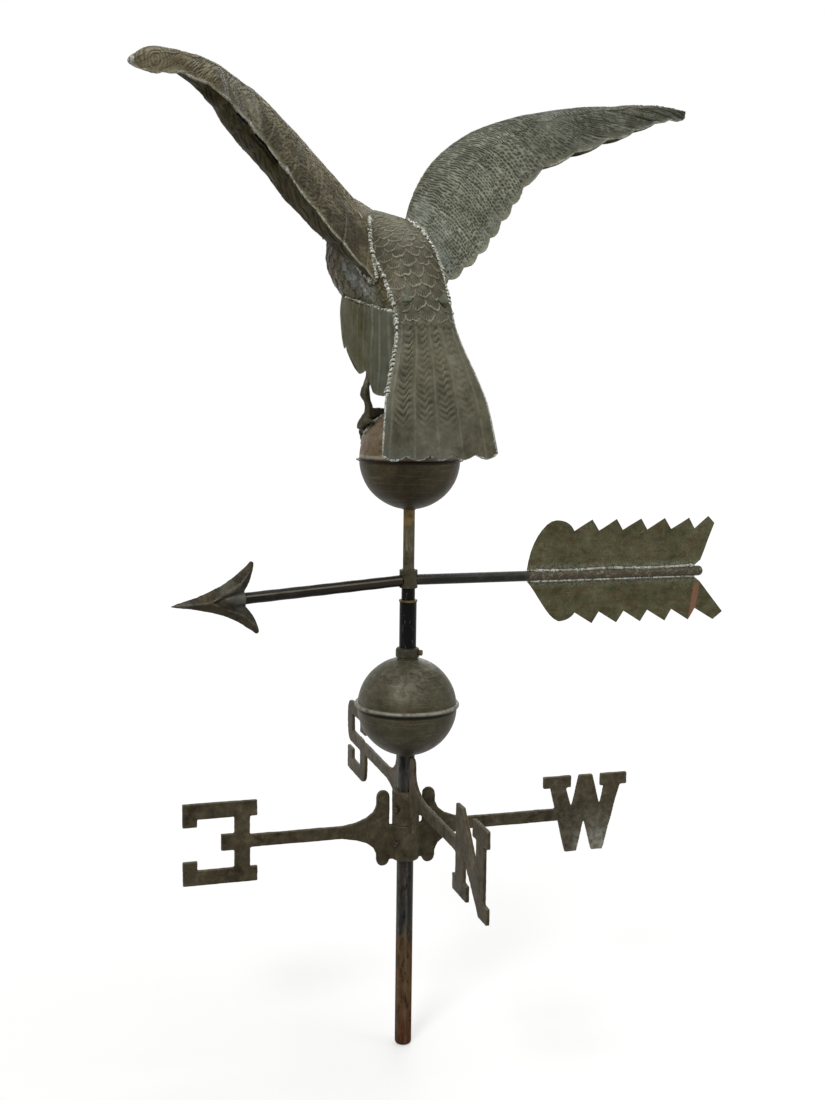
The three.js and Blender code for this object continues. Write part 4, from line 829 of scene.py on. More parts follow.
def arrow_head():
    """The cast head: two swept barbs, each with a ridge, and a rib that runs into the neck."""
    w = np.linspace(0, 1, 80)[:, None]
    a, b, c, d = (np.array(q, float) for q in ((0, 0), (0.305 * HEAD_LONG, 0.2 * HEAD_WIDE),
                                               (0.62 * HEAD_LONG, 0.24 * HEAD_WIDE), (0.96 * HEAD_LONG, HEAD_WIDE)))
    outer = (1 - w) ** 3 * a + 3 * w * (1 - w) ** 2 * b + 3 * w * w * (1 - w) * c + w ** 3 * d
    outer = np.concatenate([outer, [[0.982 * HEAD_LONG, 0.998 * HEAD_WIDE], [HEAD_LONG, 0.955 * HEAD_WIDE]]])
    v = np.linspace(0, 1, 30)[:, None]
    notch, bulge, end = (np.array(q, float)
                         for q in ((HEAD_NOTCH, HEAD_NECK - 2.5), (0.985 * HEAD_LONG, 0.56 * HEAD_WIDE),
                                   (HEAD_LONG, 0.95 * HEAD_WIDE)))
    back_edge = (1 - v) ** 2 * notch + 2 * v * (1 - v) * bulge + v * v * end
    inner = np.concatenate([np.stack([np.linspace(0, HEAD_NOTCH, 60), np.zeros(60)], 1),
                            np.linspace([HEAD_NOTCH, 1.0], [HEAD_NOTCH, HEAD_NECK - 2.6], 4), back_edge])

    def along(line, at):
        length = run_length(line)
        return np.stack([np.interp(at * length[-1], length, line[:, m]) for m in (0, 1)], 1)

    k = np.linspace(0, 1, 170)
    o = along(outer, k)
    n_ = along(inner, np.interp(k, [0, 0.4, 0.74, 0.8, 1], [0, 0.33, 0.62, 0.69, 1.0]))
    j = np.linspace(0, 1, 46)[None, :]
    crest = np.interp(k, [0, 0.1, 0.3, 0.45, 0.8, 0.93, 1], [0.9, 3.2, 6.0, 6.8, 6.2, 4.2, 1.9])[:, None]
    at = np.interp(k, [0, 0.42, 0.58, 0.8, 1], [0.0, 0.0, 0.34, 0.5, 0.5])[:, None]
    floor_ = np.interp(k, [0, 0.42, 0.52, 0.75, 1], [1, 1, 0.42, 0.34, 0.4])[:, None] * crest
    edge = np.interp(k, [0, 0.5, 1], [0.6, 1.5, 1.1])[:, None]
    up = np.clip(j / np.maximum(at, 1e-3), 0, 1)
    down = np.clip((j - at) / (1 - at), 0, 1)
    high = np.where(j < at, floor_ + (crest - floor_) * up, crest + (edge - crest) * down ** 0.92)
    pts = n_[:, None] + (o - n_)[:, None] * j[..., None]
    parts = []
    for sign in (1, -1):
        x, y = pts[..., 0], pts[..., 1] * sign
        parts.append(shell(np.stack([x, y, high], -1), np.stack([x, y, -high], -1)))
    s_ = np.linspace(0, 1, 26)
    spine = np.stack([44 + (HEAD_NOTCH + 2.3 - 44) * s_, 0 * s_, 0 * s_], 1)
    size = np.interp(s_, [0, 0.2, 0.6, 0.75, 1], [0.8, 3.8, 6.8, 7.9, 7.9])
    turn_ = np.linspace(0, 2 * math.pi, 40, endpoint=False)
    rib = spine[:, None] + size[:, None, None] * np.stack([0 * turn_, np.cos(turn_), np.sin(turn_)], 1)[None]
    rib = np.concatenate([np.repeat(spine[:1, None], 40, 1), rib, np.repeat(spine[-1:, None], 40, 1)])
    parts.append((rib, [quads(len(rib), 40, True)]))
    mesh, p, nn = fused(parts, 0.6, 2)
    ring = np.hypot(p[:, 1], p[:, 2])
    open_end = (p[:, 0] > HEAD_NOTCH + 1.2) & (ring < 6.7)
    p[open_end, 0] = HEAD_NOTCH + 0.8
    p = p + nn * (0.12 * lumps(p, 3, 31) + 0.16 * lumps(p, 12, 32))[:, None]
    side = np.abs(p[:, 1])
    ridge_gap = np.abs(side - np.interp(p[:, 0], [0, 42, 58, 76, 90], [0, 0, 8.2, 17.3, 32]))
    rel = 0.7 * bell(ridge_gap, 1.3) * (np.abs(p[:, 2]) > 2)
    rel = rel * np.maximum(smooth(p[:, 0], 60, 48), smooth(side, 8, 11))
    # Painted shade in the hollow beside the rib
    hollow = 0.8 * smooth(p[:, 0], 46, 56) * bell(side - 5.5 - 0.1 * (p[:, 0] - 56), 2.2)
    rel = rel - hollow * (p[:, 0] < HEAD_NOTCH)
    far, cos_, sin_ = TIP_REACH - p[:, 0], math.cos(droop), math.sin(droop)
    row = np.stack([-far * cos_ - p[:, 1] * sin_, -p[:, 2], ARROW_Z - far * sin_ + p[:, 1] * cos_], 1)
    set_points(mesh, row)
    set_fields(mesh, {"mark": 0 * rel, "tone": 0.2 * lumps(p, 14, 35), "rel": np.clip(rel, -1, 1), "solder": 0 * rel})
    finish_piece("arrow_head_formed", mesh, "vane", "arrow", ("arrow_head",), 42)


arrow_head()


def sheet_piece(name, node, seed):
    """A fletching sheet cut into small faces and slightly bent by hand."""
    bm = bmesh.new()
    bm.from_mesh(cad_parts[node].data)
    bmesh.ops.remove_doubles(bm, verts=bm.verts, dist=1e-6)
    bmesh.ops.dissolve_limit(bm, angle_limit=math.radians(1), verts=bm.verts, edges=bm.edges)
    hard = [e for e in bm.edges if len(e.link_faces) == 2 and e.calc_face_angle(0) > 0.6]
    bmesh.ops.bevel(bm, geom=hard, offset=0.00028, segments=2, affect="EDGES", profile=0.6, clamp_overlap=True)
    for axis, low, high, step in ((0, 136, 366, 3.0), (2, 470, 610, 3.0)):
        for place in np.arange(low, high, step):
            origin, normal = [0, 0, 0], [0, 0, 0]
            origin[axis], normal[axis] = place / 1000, 1
            bmesh.ops.bisect_plane(bm, geom=bm.verts[:] + bm.edges[:] + bm.faces[:], plane_co=origin, plane_no=normal)
    p = np.array([v.co for v in bm.verts]) * 1000
    away = np.clip((np.abs(p[:, 2] - ARROW_Z) - 8) / 50, 0, 1)
    bend = (lumps(p * [1, 0, 1], 30, seed) * 1.0 + lumps(p * [1, 0, 1], 70, seed + 1) * 1.4) * away
    dent = lumps(p * [1, 0, 1], 9, seed + 2) * 0.15
    for v, y in zip(bm.verts, p[:, 1] + bend + dent):
        v.co.y = y / 1000
    mesh = bpy.data.meshes.new(name)
    bm.to_mesh(mesh)
    bm.free()
    finish_piece(name, mesh, "vane", "fletch", (node,), 40)


sheet_piece("fletching_upper", "fletching_upper_sheet", 41)
sheet_piece("fletching_lower", "fletching_lower_sheet", 44)
for k, (y, z) in enumerate(((-3.4, 5.4), (3.4, 5.4), (-3.4, -5.4), (3.4, -5.4))):
    xs = np.linspace(143, 350, 120)
    drift = 0.5 * np.sin(xs / 17.0 + k) * (z > 0)
    path = np.stack([xs, np.full(120, y * 0.75), ARROW_Z + z * 1.12 + drift], 1)
    bead("fletching_solder_%d" % (k + 1), path, 1.6 if z > 0 else 1.25, "solder_bright", 50 + k,
         crust=0.3)

# Eagle: body

# Columns: the back's place forward and up, the belly's place forward and up, half the width
TAIL = [[-0.213, -0.968, -0.187, -0.968, 1], [-0.147, -0.56, -0.087, -0.56, 0.86]]
BODY = [[-0.205, -0.042, -0.085, -0.092, 0.79], [-0.12, 0.148, 0.05, -0.092, 0.89],
        [-0.03, 0.328, 0.26, -0.042, 0.96],
        [0.1, 0.458, 0.5, 0.038, 1.03], [0.26, 0.538, 0.715, 0.178, 1.03], [0.42, 0.578, 0.815, 0.373, 0.86],
        [0.56, 0.608, 0.79, 0.508, 0.58]]
TAIL_LONG, TAIL_HALF, BODY_LONG, BODY_HALF = 150, 70, 200, 45
tail_x, tail_z = BODY[0][0] * BODY_LONG, STAND + BODY[0][1] * BODY_LONG


def outline(forward, up):
    """The tail's and the trunk's points from two columns of their tables."""
    tail = [[tail_x + r[forward] * TAIL_LONG, 0, tail_z + r[up] * TAIL_LONG] for r in TAIL]
    return tail + [[r[forward] * BODY_LONG, 0, STAND + r[up] * BODY_LONG] for r in BODY]


back_pts, belly_pts = outline(0, 1), outline(2, 3)
width_pts = [[r[4] * TAIL_HALF, 0, 0] for r in TAIL] + [[r[4] * BODY_HALF, 0, 0] for r in BODY]
back_line, belly_line, width_line = curve(back_pts), curve(belly_pts), curve(width_pts)


def trunk_mid(t):
    return (back_line(t) + belly_line(t)) / 2


def squared(v):
    """A rounded section made a little squarer."""
    return np.sign(v) * np.abs(v) ** 0.8


def body_point(t, angle, grow=0.0):
    """The skin of tail and trunk: t from the tail's end to the neck, angle from the back round to the belly."""
    middle = trunk_mid(t)
    out = back_line(t) - middle
    depth = np.linalg.norm(out, axis=-1, keepdims=True)
    p = middle + out / depth * (depth + grow) * squared(np.cos(angle))[..., None]
    p[..., 1] = (width_line(t)[..., 0] + grow) * squared(np.sin(angle))
    return p


def seam(t):
    """The angle at which the back shell meets the breast shell."""
    return np.radians(89 - 31 * smooth(t, 0.18, 0.36))


def tail_start(y):
    """Where the scalloped end of the tail starts; its lobes are 28 mm wide."""
    f = np.abs(((np.clip(y, 0.1 - TAIL_HALF, TAIL_HALF - 0.1) + TAIL_HALF) / 28) % 1 * 2 - 1)
    return 0.125 / 62 * 7 * (0.25 + 0.75 * f ** 1.7)


def body_grid(rows, angle_of):
    """A grid over the body whose rows start on the tail's scallops."""
    first = angle_of(np.zeros(1))
    start = tail_start(TAIL_HALF * squared(np.sin(first)))
    t = start + (1 - start) * np.linspace(0, 1, rows)[:, None]
    angle = angle_of(t)
    return t, angle, body_point(t, angle)


def stage_scale(s, a, pitch, width, drop):
    """Rows of U-shaped feathers.

    Returns the rise within a feather, the distance to its lower edge, the place across it from -1 to 1, the
    distance from its root and the phase of its barbs.
    """
    edges = [0.0]
    while edges[-1] < s.max() + 30:
        edges.append(edges[-1] + pitch(edges[-1]))
    edges = np.array(edges)
    row = np.clip(np.searchsorted(edges, s, "right") - 1, 0, len(edges) - 2)

    def lower(r):
        w = width(edges[r])
        f = (a / w + 0.5 * (r % 2)) % 1 * 2 - 1
        return edges[np.minimum(r + 1, len(edges) - 1)] - drop(edges[r]) * np.abs(f) ** 2.9, f, w
    low, _, _ = lower(row)
    row = np.where(s < low, row, np.minimum(row + 1, len(edges) - 2))
    low, f, w = lower(row)
    upper, _, _ = lower(np.maximum(row - 1, 0))
    upper = np.where(row == 0, 0, upper)
    ramp = np.clip((s - upper) / np.maximum(low - upper, 0.5), 0, 1)
    side = f * w / 2
    reach = np.hypot(side, s - edges[row] + 3)
    polar = np.arctan2(side, s - edges[row] + 3)
    return ramp, low - s, f, reach, polar * 27 + row * 11.1


def side_seam_distance(grid):
    """How far each point lies from the nearer side seam."""
    j = arc(grid, 1)
    return np.minimum(j, j[:, -1:] - j)


TAIL_ROOT = 0.243
back_rows, back_cols = 420, 260
alpha = np.linspace(-1, 1, back_cols)[None, :] * 0.997
t, angle, base = body_grid(back_rows, lambda tt: alpha * seam(tt))
normal = outward(base, trunk_mid(t))
s_line = arc(base, 0)[:, back_cols // 2]
s = (s_line[-1] - s_line)[:, None] + 0 * alpha
side = arc(base, 1)
side = side - side[:, back_cols // 2][:, None]
reach = s_line[-1] - np.interp(TAIL_ROOT, t[:, back_cols // 2], s_line)
s_bent = s + 1.1 * lumps(base, 14, 3) + 0.4 * lumps(base, 6, 4)
side_bent = side + 1.3 * lumps(base, 15, 5)


def grown(place):
    """How far the scales have grown toward the tail."""
    return smooth(place, 30, reach - 30)


ramp, edge, f, from_root, barbs = stage_scale(s_bent, side_bent, lambda e: 5.6 + 8.2 * grown(e),
                                              lambda e: 12.5 + 7.0 * grown(e), lambda e: 3.0 + 3.6 * grown(e))
strength = 0.3 + 0.7 * smooth(s, 8, 40)
scale_wide = 12.5 + 7.0 * grown(s)
flank_rim = bell((1 - np.abs(f)) * scale_wide / 2, 0.9) * smooth(ramp, 0.12, 0.35)
rim = np.maximum(bell(edge - 1.0, 1.1), 0.75 * flank_rim) * (0.8 + 0.25 * lumps(base, 9, 33))
young = 1 - smooth(s, 45, 95)
height = strength * (0.45 * ramp ** 1.6 + 0.4 * rim - 0.4)
fan = (0.5 + 0.5 * np.sin(barbs)) * smooth(from_root, 3, 7)
# Paler scale rims, and a painted shadow just under the rim of the scale above
rel = strength * (0.8 * rim - (0.3 + 0.4 * young) * np.exp(-ramp * 7) * (1 - np.exp(-np.maximum(edge, 0) / 2)))
marks = np.clip((0.25 + (0.66 + 0.25 * lumps(base, 17, 31)) * fan) * (1 - rim), 0, 1) * (1 - young)
small = pits(side_bent + 1.5 * np.sin(s_bent / 2.2), s_bent, 10.5, 5.0, 5, half=0.36, jitter=0.5)
marks = marks + young * (0.12 + 0.95 * small)
neck_line = pits(s_bent, side_bent, 13, 2.6, 6, half=0.4) * smooth(s, 34, 16)
marks = np.clip(marks * (1 - smooth(s, 34, 16)) + neck_line * 0.8, 0, 1)
height = height - 0.35 * marks * smooth(t, 0.236, 0.246)
# Tail feathers: four columns of soft chevrons between raised lines, the rest of the tail nearly plain
half = width_line(t)[..., 0]
share = 0.5 - base[..., 1] / half * 0.5
FEATHER_SHARE = 0.209
col = (share - 0.055) / FEATHER_SHARE
fc = col - np.floor(col)
wide = half * 2 * FEATHER_SHARE
off = (fc - 0.5) * wide
l = np.abs(off)
inside = (col > 0) * (col < 4)
line = bell(wide / 2 - l, 1.1) * smooth(share, 0.02, 0.05) * smooth(share, 0.93, 0.9)
down = s - reach
sway = 0.7 * lumps(base, 16, 12)
fade = smooth(down, -3, 4) * (1 - smooth(down, 90, 118)) * inside * smooth(wide / 2 - l, 1.4, 6.5)
fade = fade * (1 - 0.45 * (col > 3)) * (0.85 + 0.2 * lumps(base, 13, 34))
vee = 1.05 * l * l / (l + 2.6 * smooth(down, 60, 0) + 0.6)
phase = (down + sway + vee) / 7.1
beat = phase - np.floor(phase)
lift = 0.5 - 0.5 * np.cos(2 * math.pi * beat ** 0.75)
groove = bell(beat - 0.93, 0.13) + bell(beat + 0.07, 0.13)
tail_h = 0.4 * line + fade * (0.7 * lift - 0.65 * groove) - 0.1
tail_rel = 0.3 * line * smooth(down, -2, 8) + fade * (0.45 * lift - 0.15)
tail_mark = fade * 0.8 * groove * (0.8 + 0.2 * lumps(base, 9, 15))
step = 1.3 * np.exp(-np.maximum((t - TAIL_ROOT) * 900, 0) / 8)
tuft = TAIL_ROOT + 0.0065 * np.abs(np.sin(math.pi * (col * 1.6))) + 0.0012 * np.sin(side * 2.1) - 0.003
on_back = smooth(t, tuft - 0.0015, tuft + 0.0015)
height = height * on_back + tail_h * (1 - on_back) + on_back * step
rel = rel * on_back + tail_rel * (1 - on_back)
marks = marks * on_back + tail_mark * (1 - on_back)
marks = marks + 0.28 * smooth(down, 70, 115) * (1 - on_back)
# A paler rim on the back's last scales and a painted shadow on the tail just under it
rel = rel - 0.6 * bell(tuft - 0.002 - t, 0.003) + 0.4 * bell(t - tuft - 0.002, 0.002)
flank = side_seam_distance(base)
by_side = np.where(base[..., 1] > 0, smooth(t, 0.12, 0.22), 0.6 + 0.3 * smooth(t, 0.34, 0.3))
tin = np.exp(-flank / 4.5) * (0.5 + 0.3 * lumps(base, 12, 5)) * by_side
end = s_line[:, None] + 0 * side
tin = np.maximum(tin, 0.5 * np.exp(-end / 2.2))
tone = -0.5 * np.exp(-end / 9) * smooth(share, 0.8, 0.35) - 0.3 * np.exp(-(share * 2 * half) / 6) * (t < TAIL_ROOT)
tone = tone + 0.3 * smooth(lumps(base, 24, 14), 0.3, 1.2) * on_back
height = height * np.clip(flank / 4, 0, 1) + 0.45 * lumps(base, 26, 8) * np.clip(flank / 8, 0, 1)
relief_sheet("eagle_back", base + normal * height[..., None], base - normal, "back", "eagle_back_shell",
             "body_copper",
             marks, tone, rel, tin)

breast_rows, breast_cols = 300, 240
beta = np.linspace(0.002, 0.998, breast_cols)[None, :]
t, angle, base = body_grid(breast_rows, lambda tt: seam(tt) + (2 * math.pi - 2 * seam(tt)) * beta)
normal = outward(base, trunk_mid(t))
s_line = arc(base, 0)[:, breast_cols // 2]
s = (s_line[-1] - s_line)[:, None] + 0 * beta
side = arc(base, 1)
side = side - side[:, breast_cols // 2][:, None]
ramp, edge, *_ = stage_scale(s, side, lambda e: 17.0 + 0 * e, lambda e: 13.0 + 0 * e, lambda e: 9.0 + 0 * e)
under_tail = 1 - smooth(t, 0.2, 0.27)
rim = bell(edge - 0.8, 0.7)
height = (1 - under_tail) * (0.8 * ramp ** 1.6 + 0.25 * rim - 0.4)
height = height + under_tail * 0.3 * np.sin(side / 28 * 2 * math.pi) ** 8
flank = side_seam_distance(base)
height = height * np.clip(flank / 4, 0, 1) + 0.5 * lumps(base, 26, 9) * np.clip(flank / 8, 0, 1)
# Paler scale rims, and a painted shadow just under the rim of the scale above; none under the tail
rel = (1 - under_tail) * (0.55 * rim - 0.8 * np.exp(-ramp * 8))
tin = np.exp(-flank / 6) * (0.6 + 0.3 * lumps(base, 15, 6))
shoulder = np.exp(-(((base[..., 0] - 120) / 45) ** 2 + ((base[..., 2] - 860) / 38) ** 2))
shoulder = shoulder * (np.abs(base[..., 1]) > 12)
tin = np.maximum(tin, shoulder * (0.62 + 0.3 * lumps(base, 12, 16)))
marks = pits(s + 2 * lumps(base, 12, 41), side + 0.8 * lumps(base, 8, 42), 15, 2.6, 43, half=0.4)
marks = (1 - under_tail) * marks * 0.85
marks = marks + under_tail * 0.3 * pits(s, side, 18, 3.2, 44, half=0.4)
height = height - 0.4 * marks
across = base[..., 2] - STAND - 24 - (base[..., 0] - 20) * 0.52
smear = bell(across, 9) * smooth(base[..., 0], -8, 14) * smooth(base[..., 0], 98, 74)
smear = smear * (0.8 + 0.25 * lumps(base, 8, 45))
tin = np.maximum(tin, 0.7 * smear * smooth(lumps(base, 6, 47), -0.3, 0.9))
tone = 0.55 * smooth(base[..., 0], 60, 110) - 1.1 * smear
relief_sheet("eagle_breast", base + normal * height[..., None], base - normal, "breast", "eagle_breast_shell",
             "body_copper", marks, tone, rel, tin)

# Solder along the flanks and the tail's end
for side_sign, label in ((1, "left"), (-1, "right")):
    left = side_sign > 0
    tt = np.linspace(0.13 if left else 0.33, 0.93, 260)
    bead("flank_solder_%s_upper" % label, to_row(body_point(tt, seam(tt) * side_sign, 0.1)), 2.3 if left else 2.2,
         "solder", 60 + side_sign, crust=0.3, around=14, step=0.55, dab=5.2 if left else 4.4)
    tt = np.linspace(0.012, 0.135 if left else 0.335, 260)
    bead("flank_solder_%s_tail" % label, to_row(body_point(tt, seam(tt) * side_sign, 0.25)), 1.0 if left else 1.2,
         "solder_bright", 60 + side_sign, crust=0.12, around=14)
aa = np.linspace(-1, 1, 400) * math.radians(86)
t_end = tail_start(TAIL_HALF * squared(np.sin(aa)))
mid = (body_point(t_end, aa) + body_point(t_end, math.pi - aa)) / 2
bead("tail_end_solder", to_row(mid), 1.25, "solder_bright", 66, crust=0.2)

# The closed trunk, used to find where other pieces meet it
tg, ag = np.meshgrid(np.linspace(0, 1, 90), np.linspace(0, 2 * math.pi, 96, endpoint=False), indexing="ij")
trunk = body_point(tg, ag)
trunk_points, trunk_faces = trunk.reshape(-1, 3), quads(90, 96, True)
trunk_tree = BVHTree.FromPolygons([Vector(p) for p in trunk_points], [list(map(int, q)) for q in trunk_faces])


def outside_trunk(p):
    """Distance from the trunk's skin; negative inside."""
    place, n, index, distance = trunk_tree.find_nearest(Vector(p))
    centre = Vector(trunk_mid(np.array([min(index // 96 / 89, 1.0)]))[0])
    if n.dot(place - centre) < 0:
        n = -n
    return distance if (Vector(p) - place).dot(n) > 0 else -distance


# Wings: shares of their span, forward, out and up

WING_SPAN = 322
TE = [[0.031, 0.047, 0.045], [0.006, 0.124, 0.101], [-0.016, 0.248, 0.207], [0.009, 0.373, 0.35],
      [0.022, 0.497, 0.496], [-0.062, 0.621, 0.573], [-0.161, 0.745, 0.629]]
LE = [[0.155, 0.047, 0.294], [0.242, 0.124, 0.415], [0.304, 0.248, 0.561], [0.289, 0.373, 0.657],
      [0.217, 0.497, 0.71], [0.106, 0.621, 0.732], [-0.043, 0.745, 0.732]]
SWELL = [[0.025, 0.047, 0], [0.031, 0.071, 0], [0.05, 0.121, 0], [0.059, 0.135, 0], [0.059, 0.13, 0],
         [0.05, 0.112, 0], [0.034, 0.068, 0], [0.022, 0.028, 0], [0.014, 0.012, 0], [0.006, 0.006, 0]]
TIPS = {1: [[-0.193, 0.87, 0.66, -0.137, 0.87, 0.731], [-0.205, 0.957, 0.651, -0.18, 0.957, 0.724],
            [-0.205, 1.02, 0.666, -0.199, 1.02, 0.685]],
        -1: [[-0.193, 0.854, 0.667, -0.137, 0.854, 0.732], [-0.205, 0.919, 0.691, -0.18, 0.919, 0.724],
             [-0.205, 0.957, 0.707, -0.199, 0.957, 0.719]]}
FORM = {1: [0.85, 1.0], -1: [1.0, 0.75]}
swell_line = curve(np.array(SWELL) * WING_SPAN)


def feathers(side_sign, t):
    """How many trailing feathers lie inboard of t; closer together on the inner half of the right wing."""
    return 13 * t if side_sign > 0 else np.where(t < 0.42, 22 * (t + 0.006), 9.372 + 13 * (t - 0.42))


def wing_edges(side_sign, t):
    """The trailing and leading edges of a wing, drawn as for the left side."""
    trail = curve(np.array(TE + [r[:3] for r in TIPS[side_sign]]) * WING_SPAN)(t)
    lead = curve(np.array(LE + [r[3:] for r in TIPS[side_sign]]) * WING_SPAN)(t)
    inward = lead - trail
    length = np.linalg.norm(inward, axis=-1)
    room = np.minimum(5.5, length / 8)
    dip = 1 - np.abs(np.sin(math.pi * feathers(side_sign, t))) - 0.45
    if side_sign > 0:
        dip = dip * (1 - 0.7 * smooth(t, 0.78, 0.86))
    trail = trail + inward / length[..., None] * (dip * room)[..., None]
    if side_sign < 0:
        # The blunt outermost feather, with a notch before it
        rounding = np.sqrt(np.clip(1 - ((t - 0.93) / 0.07) ** 2 * (t > 0.93), 0, 1))
        blunt = 3.0 * smooth(t, 0.7, 0.73) * smooth(t, 0.9, 0.8) - 4.5 * smooth(t, 0.84, 0.93) * rounding
        trail = trail + inward / length[..., None] * blunt[..., None]
    return trail, lead


def wing_base(side_sign, upper, t, u):
    """The plain skin of a wing at t along the span and u from the trailing edge."""
    trail, lead = wing_edges(side_sign, t)
    chord = lead - trail
    normal = unit(np.stack([-chord[..., 2], 0 * chord[..., 0], chord[..., 0]], -1))
    swell = swell_line(t)
    most = swell[..., 0] * FORM[side_sign][0] if upper > 0 else swell[..., 1] * FORM[side_sign][1]
    bow = np.sin(math.pi * (u ** 1.25 if upper > 0 else u))
    lift = 1.15 + most * np.maximum(bow, 0) ** 0.8
    flat = trail + chord * u[..., None]
    p = flat + normal * (upper * lift)[..., None]
    flip, lift_up = [1, side_sign, 1], [0, 0, STAND]
    return p * flip + lift_up, flat * flip + lift_up, np.linalg.norm(chord, axis=-1)


def wing_skin(name, side_sign, upper, key, node, rows, cols, seed):
    """One face of a wing; v runs from the leading edge at 0 to the trailing edge at 1."""
    right = side_sign < 0
    t1 = np.linspace(0, 1, rows)
    u1 = 1 - (1 - np.cos(np.linspace(0, math.pi, cols))) / 2 * 0.35 - np.linspace(0, 1, cols) * 0.65
    t, u = np.meshgrid(t1, u1, indexing="ij")
    base, flat, chord = wing_base(side_sign, upper, t, u)
    normal = outward(base, flat)
    v = 1 - u
    depth = v * chord
    span = arc(base, 0)[:, cols // 2][:, None] + 0 * v
    per = (np.gradient(span[:, 0], t1) / np.gradient(feathers(side_sign, t1), t1))[:, None]
    slant = 0.11 + 0.13 * smooth(t, 0.4, 0.68)
    q = feathers(side_sign, t + slant * (1 - v))
    fq = q - np.floor(q)
    near = np.minimum(fq, 1 - fq) * per
    outer_wing = smooth(t, 0.55, 0.75) * (1 if right else 0.3)
    ridge = bell(near, 0.85) * (1 if right else 0.55)
    ridge = ridge * (0.6 + 0.3 * np.sin(np.floor(q + 0.5) * 2.6)) * smooth(lumps(base, 16, seed + 15), -1.4, 0.2)
    ridge = ridge * (1 + 0.6 * outer_wing)
    height = (0.45 + 1.0 * outer_wing) * (fq - 0.5) + 0.32 * ridge
    # Paler raised feather ridges, with a painted shadow line beside each
    beside = bell(fq * per - 2.4 - 0.8 * outer_wing, 1.4 + 1.2 * outer_wing)
    rel = 0.6 * ridge - (0.4 + 0.6 * outer_wing) * beside
    quill = bell((fq - 0.52) * per, 0.7) * smooth(v, 0.45, 0.6)
    height += 0.16 * quill * (upper > 0)
    rel += 0.18 * quill
    waver = lumps(base, 14, seed + 3)
    # Rows of small feathers over the long ones: their lower edge, how far its lobes reach and their number
    small_rows = ((0.44, 0.04, 14), (0.22, 0.03, 20))
    if upper > 0:
        small_rows = ((0.37, 0.035, 17), (0.25, 0.03, 21), (0.15, 0.022, 25), (0.07, 0.015, 29))
    inner_wing = 1 - 0.75 * smooth(t, 0.82, 0.95)
    top_layer = 0 * v
    for r, (place, lobe, count) in enumerate(small_rows):
        lower = place + lobe * np.abs(np.sin(math.pi * count * t + r * 1.3)) + 0.01 * waver
        gap = (lower - v) * chord
        over = smooth(gap, -0.6, 0.6)
        top_layer = np.maximum(top_layer, over)
        bold = 1.0 if r == 0 else 0.45
        hidden = over * (1 - 0.8 * outer_wing) * (r == 0)
        height = height * (1 - hidden * 0.85) + over * 0.75 * bold * inner_wing * np.exp(-np.maximum(gap, 0) / 7)
        faint = bold * inner_wing * smooth(lumps(base, 13, seed + 16 + r), -1.0, 0.9) * (0.45 if right else 1.0)
        # A paler line just inside each small feather's lower edge and a painted shadow just beyond it
        rel = rel * (1 - hidden * 0.9) + 0.35 * faint * bell(gap - 0.9, 0.8)
        rel = rel - 0.6 * faint * bell(gap + 1.0, 0.9)
    margin = (1 - v) * chord
    curl = 1.0 * lumps(base, 5, seed + 11) + 1.2 * lumps(base, 12, seed + 12)
    if upper > 0:
        if right:
            lean = 0.45 * smooth(t, 0.55, 0.3)
            stroke = pits(depth + 1.2 * curl, span + 0.55 * curl - lean * depth, 24.0, 3.5, seed,
                          jitter=0.16, half=0.3, sparse=0.03, long=1.5)
            net = pits(depth + 0.6 * curl, fq * per + 0.3 * curl + 31 * np.floor(q), 5.4, 4.1, seed + 1,
                       jitter=0.2, sparse=0.06, long=1.15)
        else:
            near_tip = smooth(t, 0.74, 0.84)
            lean = 0.45 + 1.4 * t
            a, b = depth + 1.5 * curl, span - lean * depth + 0.7 * curl
            stroke = pits(a, b, 6.0, 4.1, seed, jitter=0.5, half=0.37, sparse=0.04)
            net = pits(a, b, 6.4, 4.5, seed + 1, jitter=0.5, half=0.37, sparse=0.06)
            arcs = (np.hypot(margin - 10, (span - span.max()) * 1.2 + 30) + 0.8 * curl) / 4.4
            arcs = np.abs(np.sin(math.pi * arcs)) ** 2 * 0.8 * near_tip
            stroke, net = stroke * (1 - near_tip) + arcs, net * (1 - near_tip) + arcs
        marks = top_layer * stroke + (1 - top_layer) * net * (0.85 + 0.15 * waver)
        plain = smooth(margin, 7, 3.5) * (1 - 0.6 * smooth(t, 0.5, 0.7))
        rubbed = smooth(lumps(base, 24, seed + 13), 0.5, 1.5)
        root_plain = smooth(t, 0.2, 0.1) * smooth(v, 0.35, 0.6)
        marks = marks * (1 - plain) * (1 - 0.6 * rubbed) * (1 - 0.3 * root_plain)
        marks = np.clip((1.3 if right else 1.1) * marks, 0, 1)
        shade = 0.64 * smooth(t, 0.34, 0.52)
        if not right:
            shade = 0.3 + 0.62 * smooth(lumps(base, 24, seed + 17), -0.1, 0.5) * smooth(v, 0.35, 0.6)
            shade = shade - 0.18 * smooth(t, 0.78, 0.92)
        tone = 0.6 * plain * smooth(t, 0.7, 0.4) + 0.35 * smooth(depth, 9, 3) - 0.35 * root_plain - 0.25 * rubbed
        if right:
            spot = np.exp(-(((t - 0.71) / 0.035) ** 2 + ((v - 0.42) / 0.2) ** 2))
            tone = tone + 0.9 * spot
        else:
            tone = 0.35 * tone + 0.2
    else:
        marks = pits(span + 1.4 * curl, depth + 0.35 * curl, 26.0, 5.2, seed, half=0.38) * (0.8 + 0.2 * waver)
        tone = 0.45 * smooth(lumps(base * [1, 1, 0.4], 15, seed + 14), 0.1, 1.2) + 0 * v
        if not right:
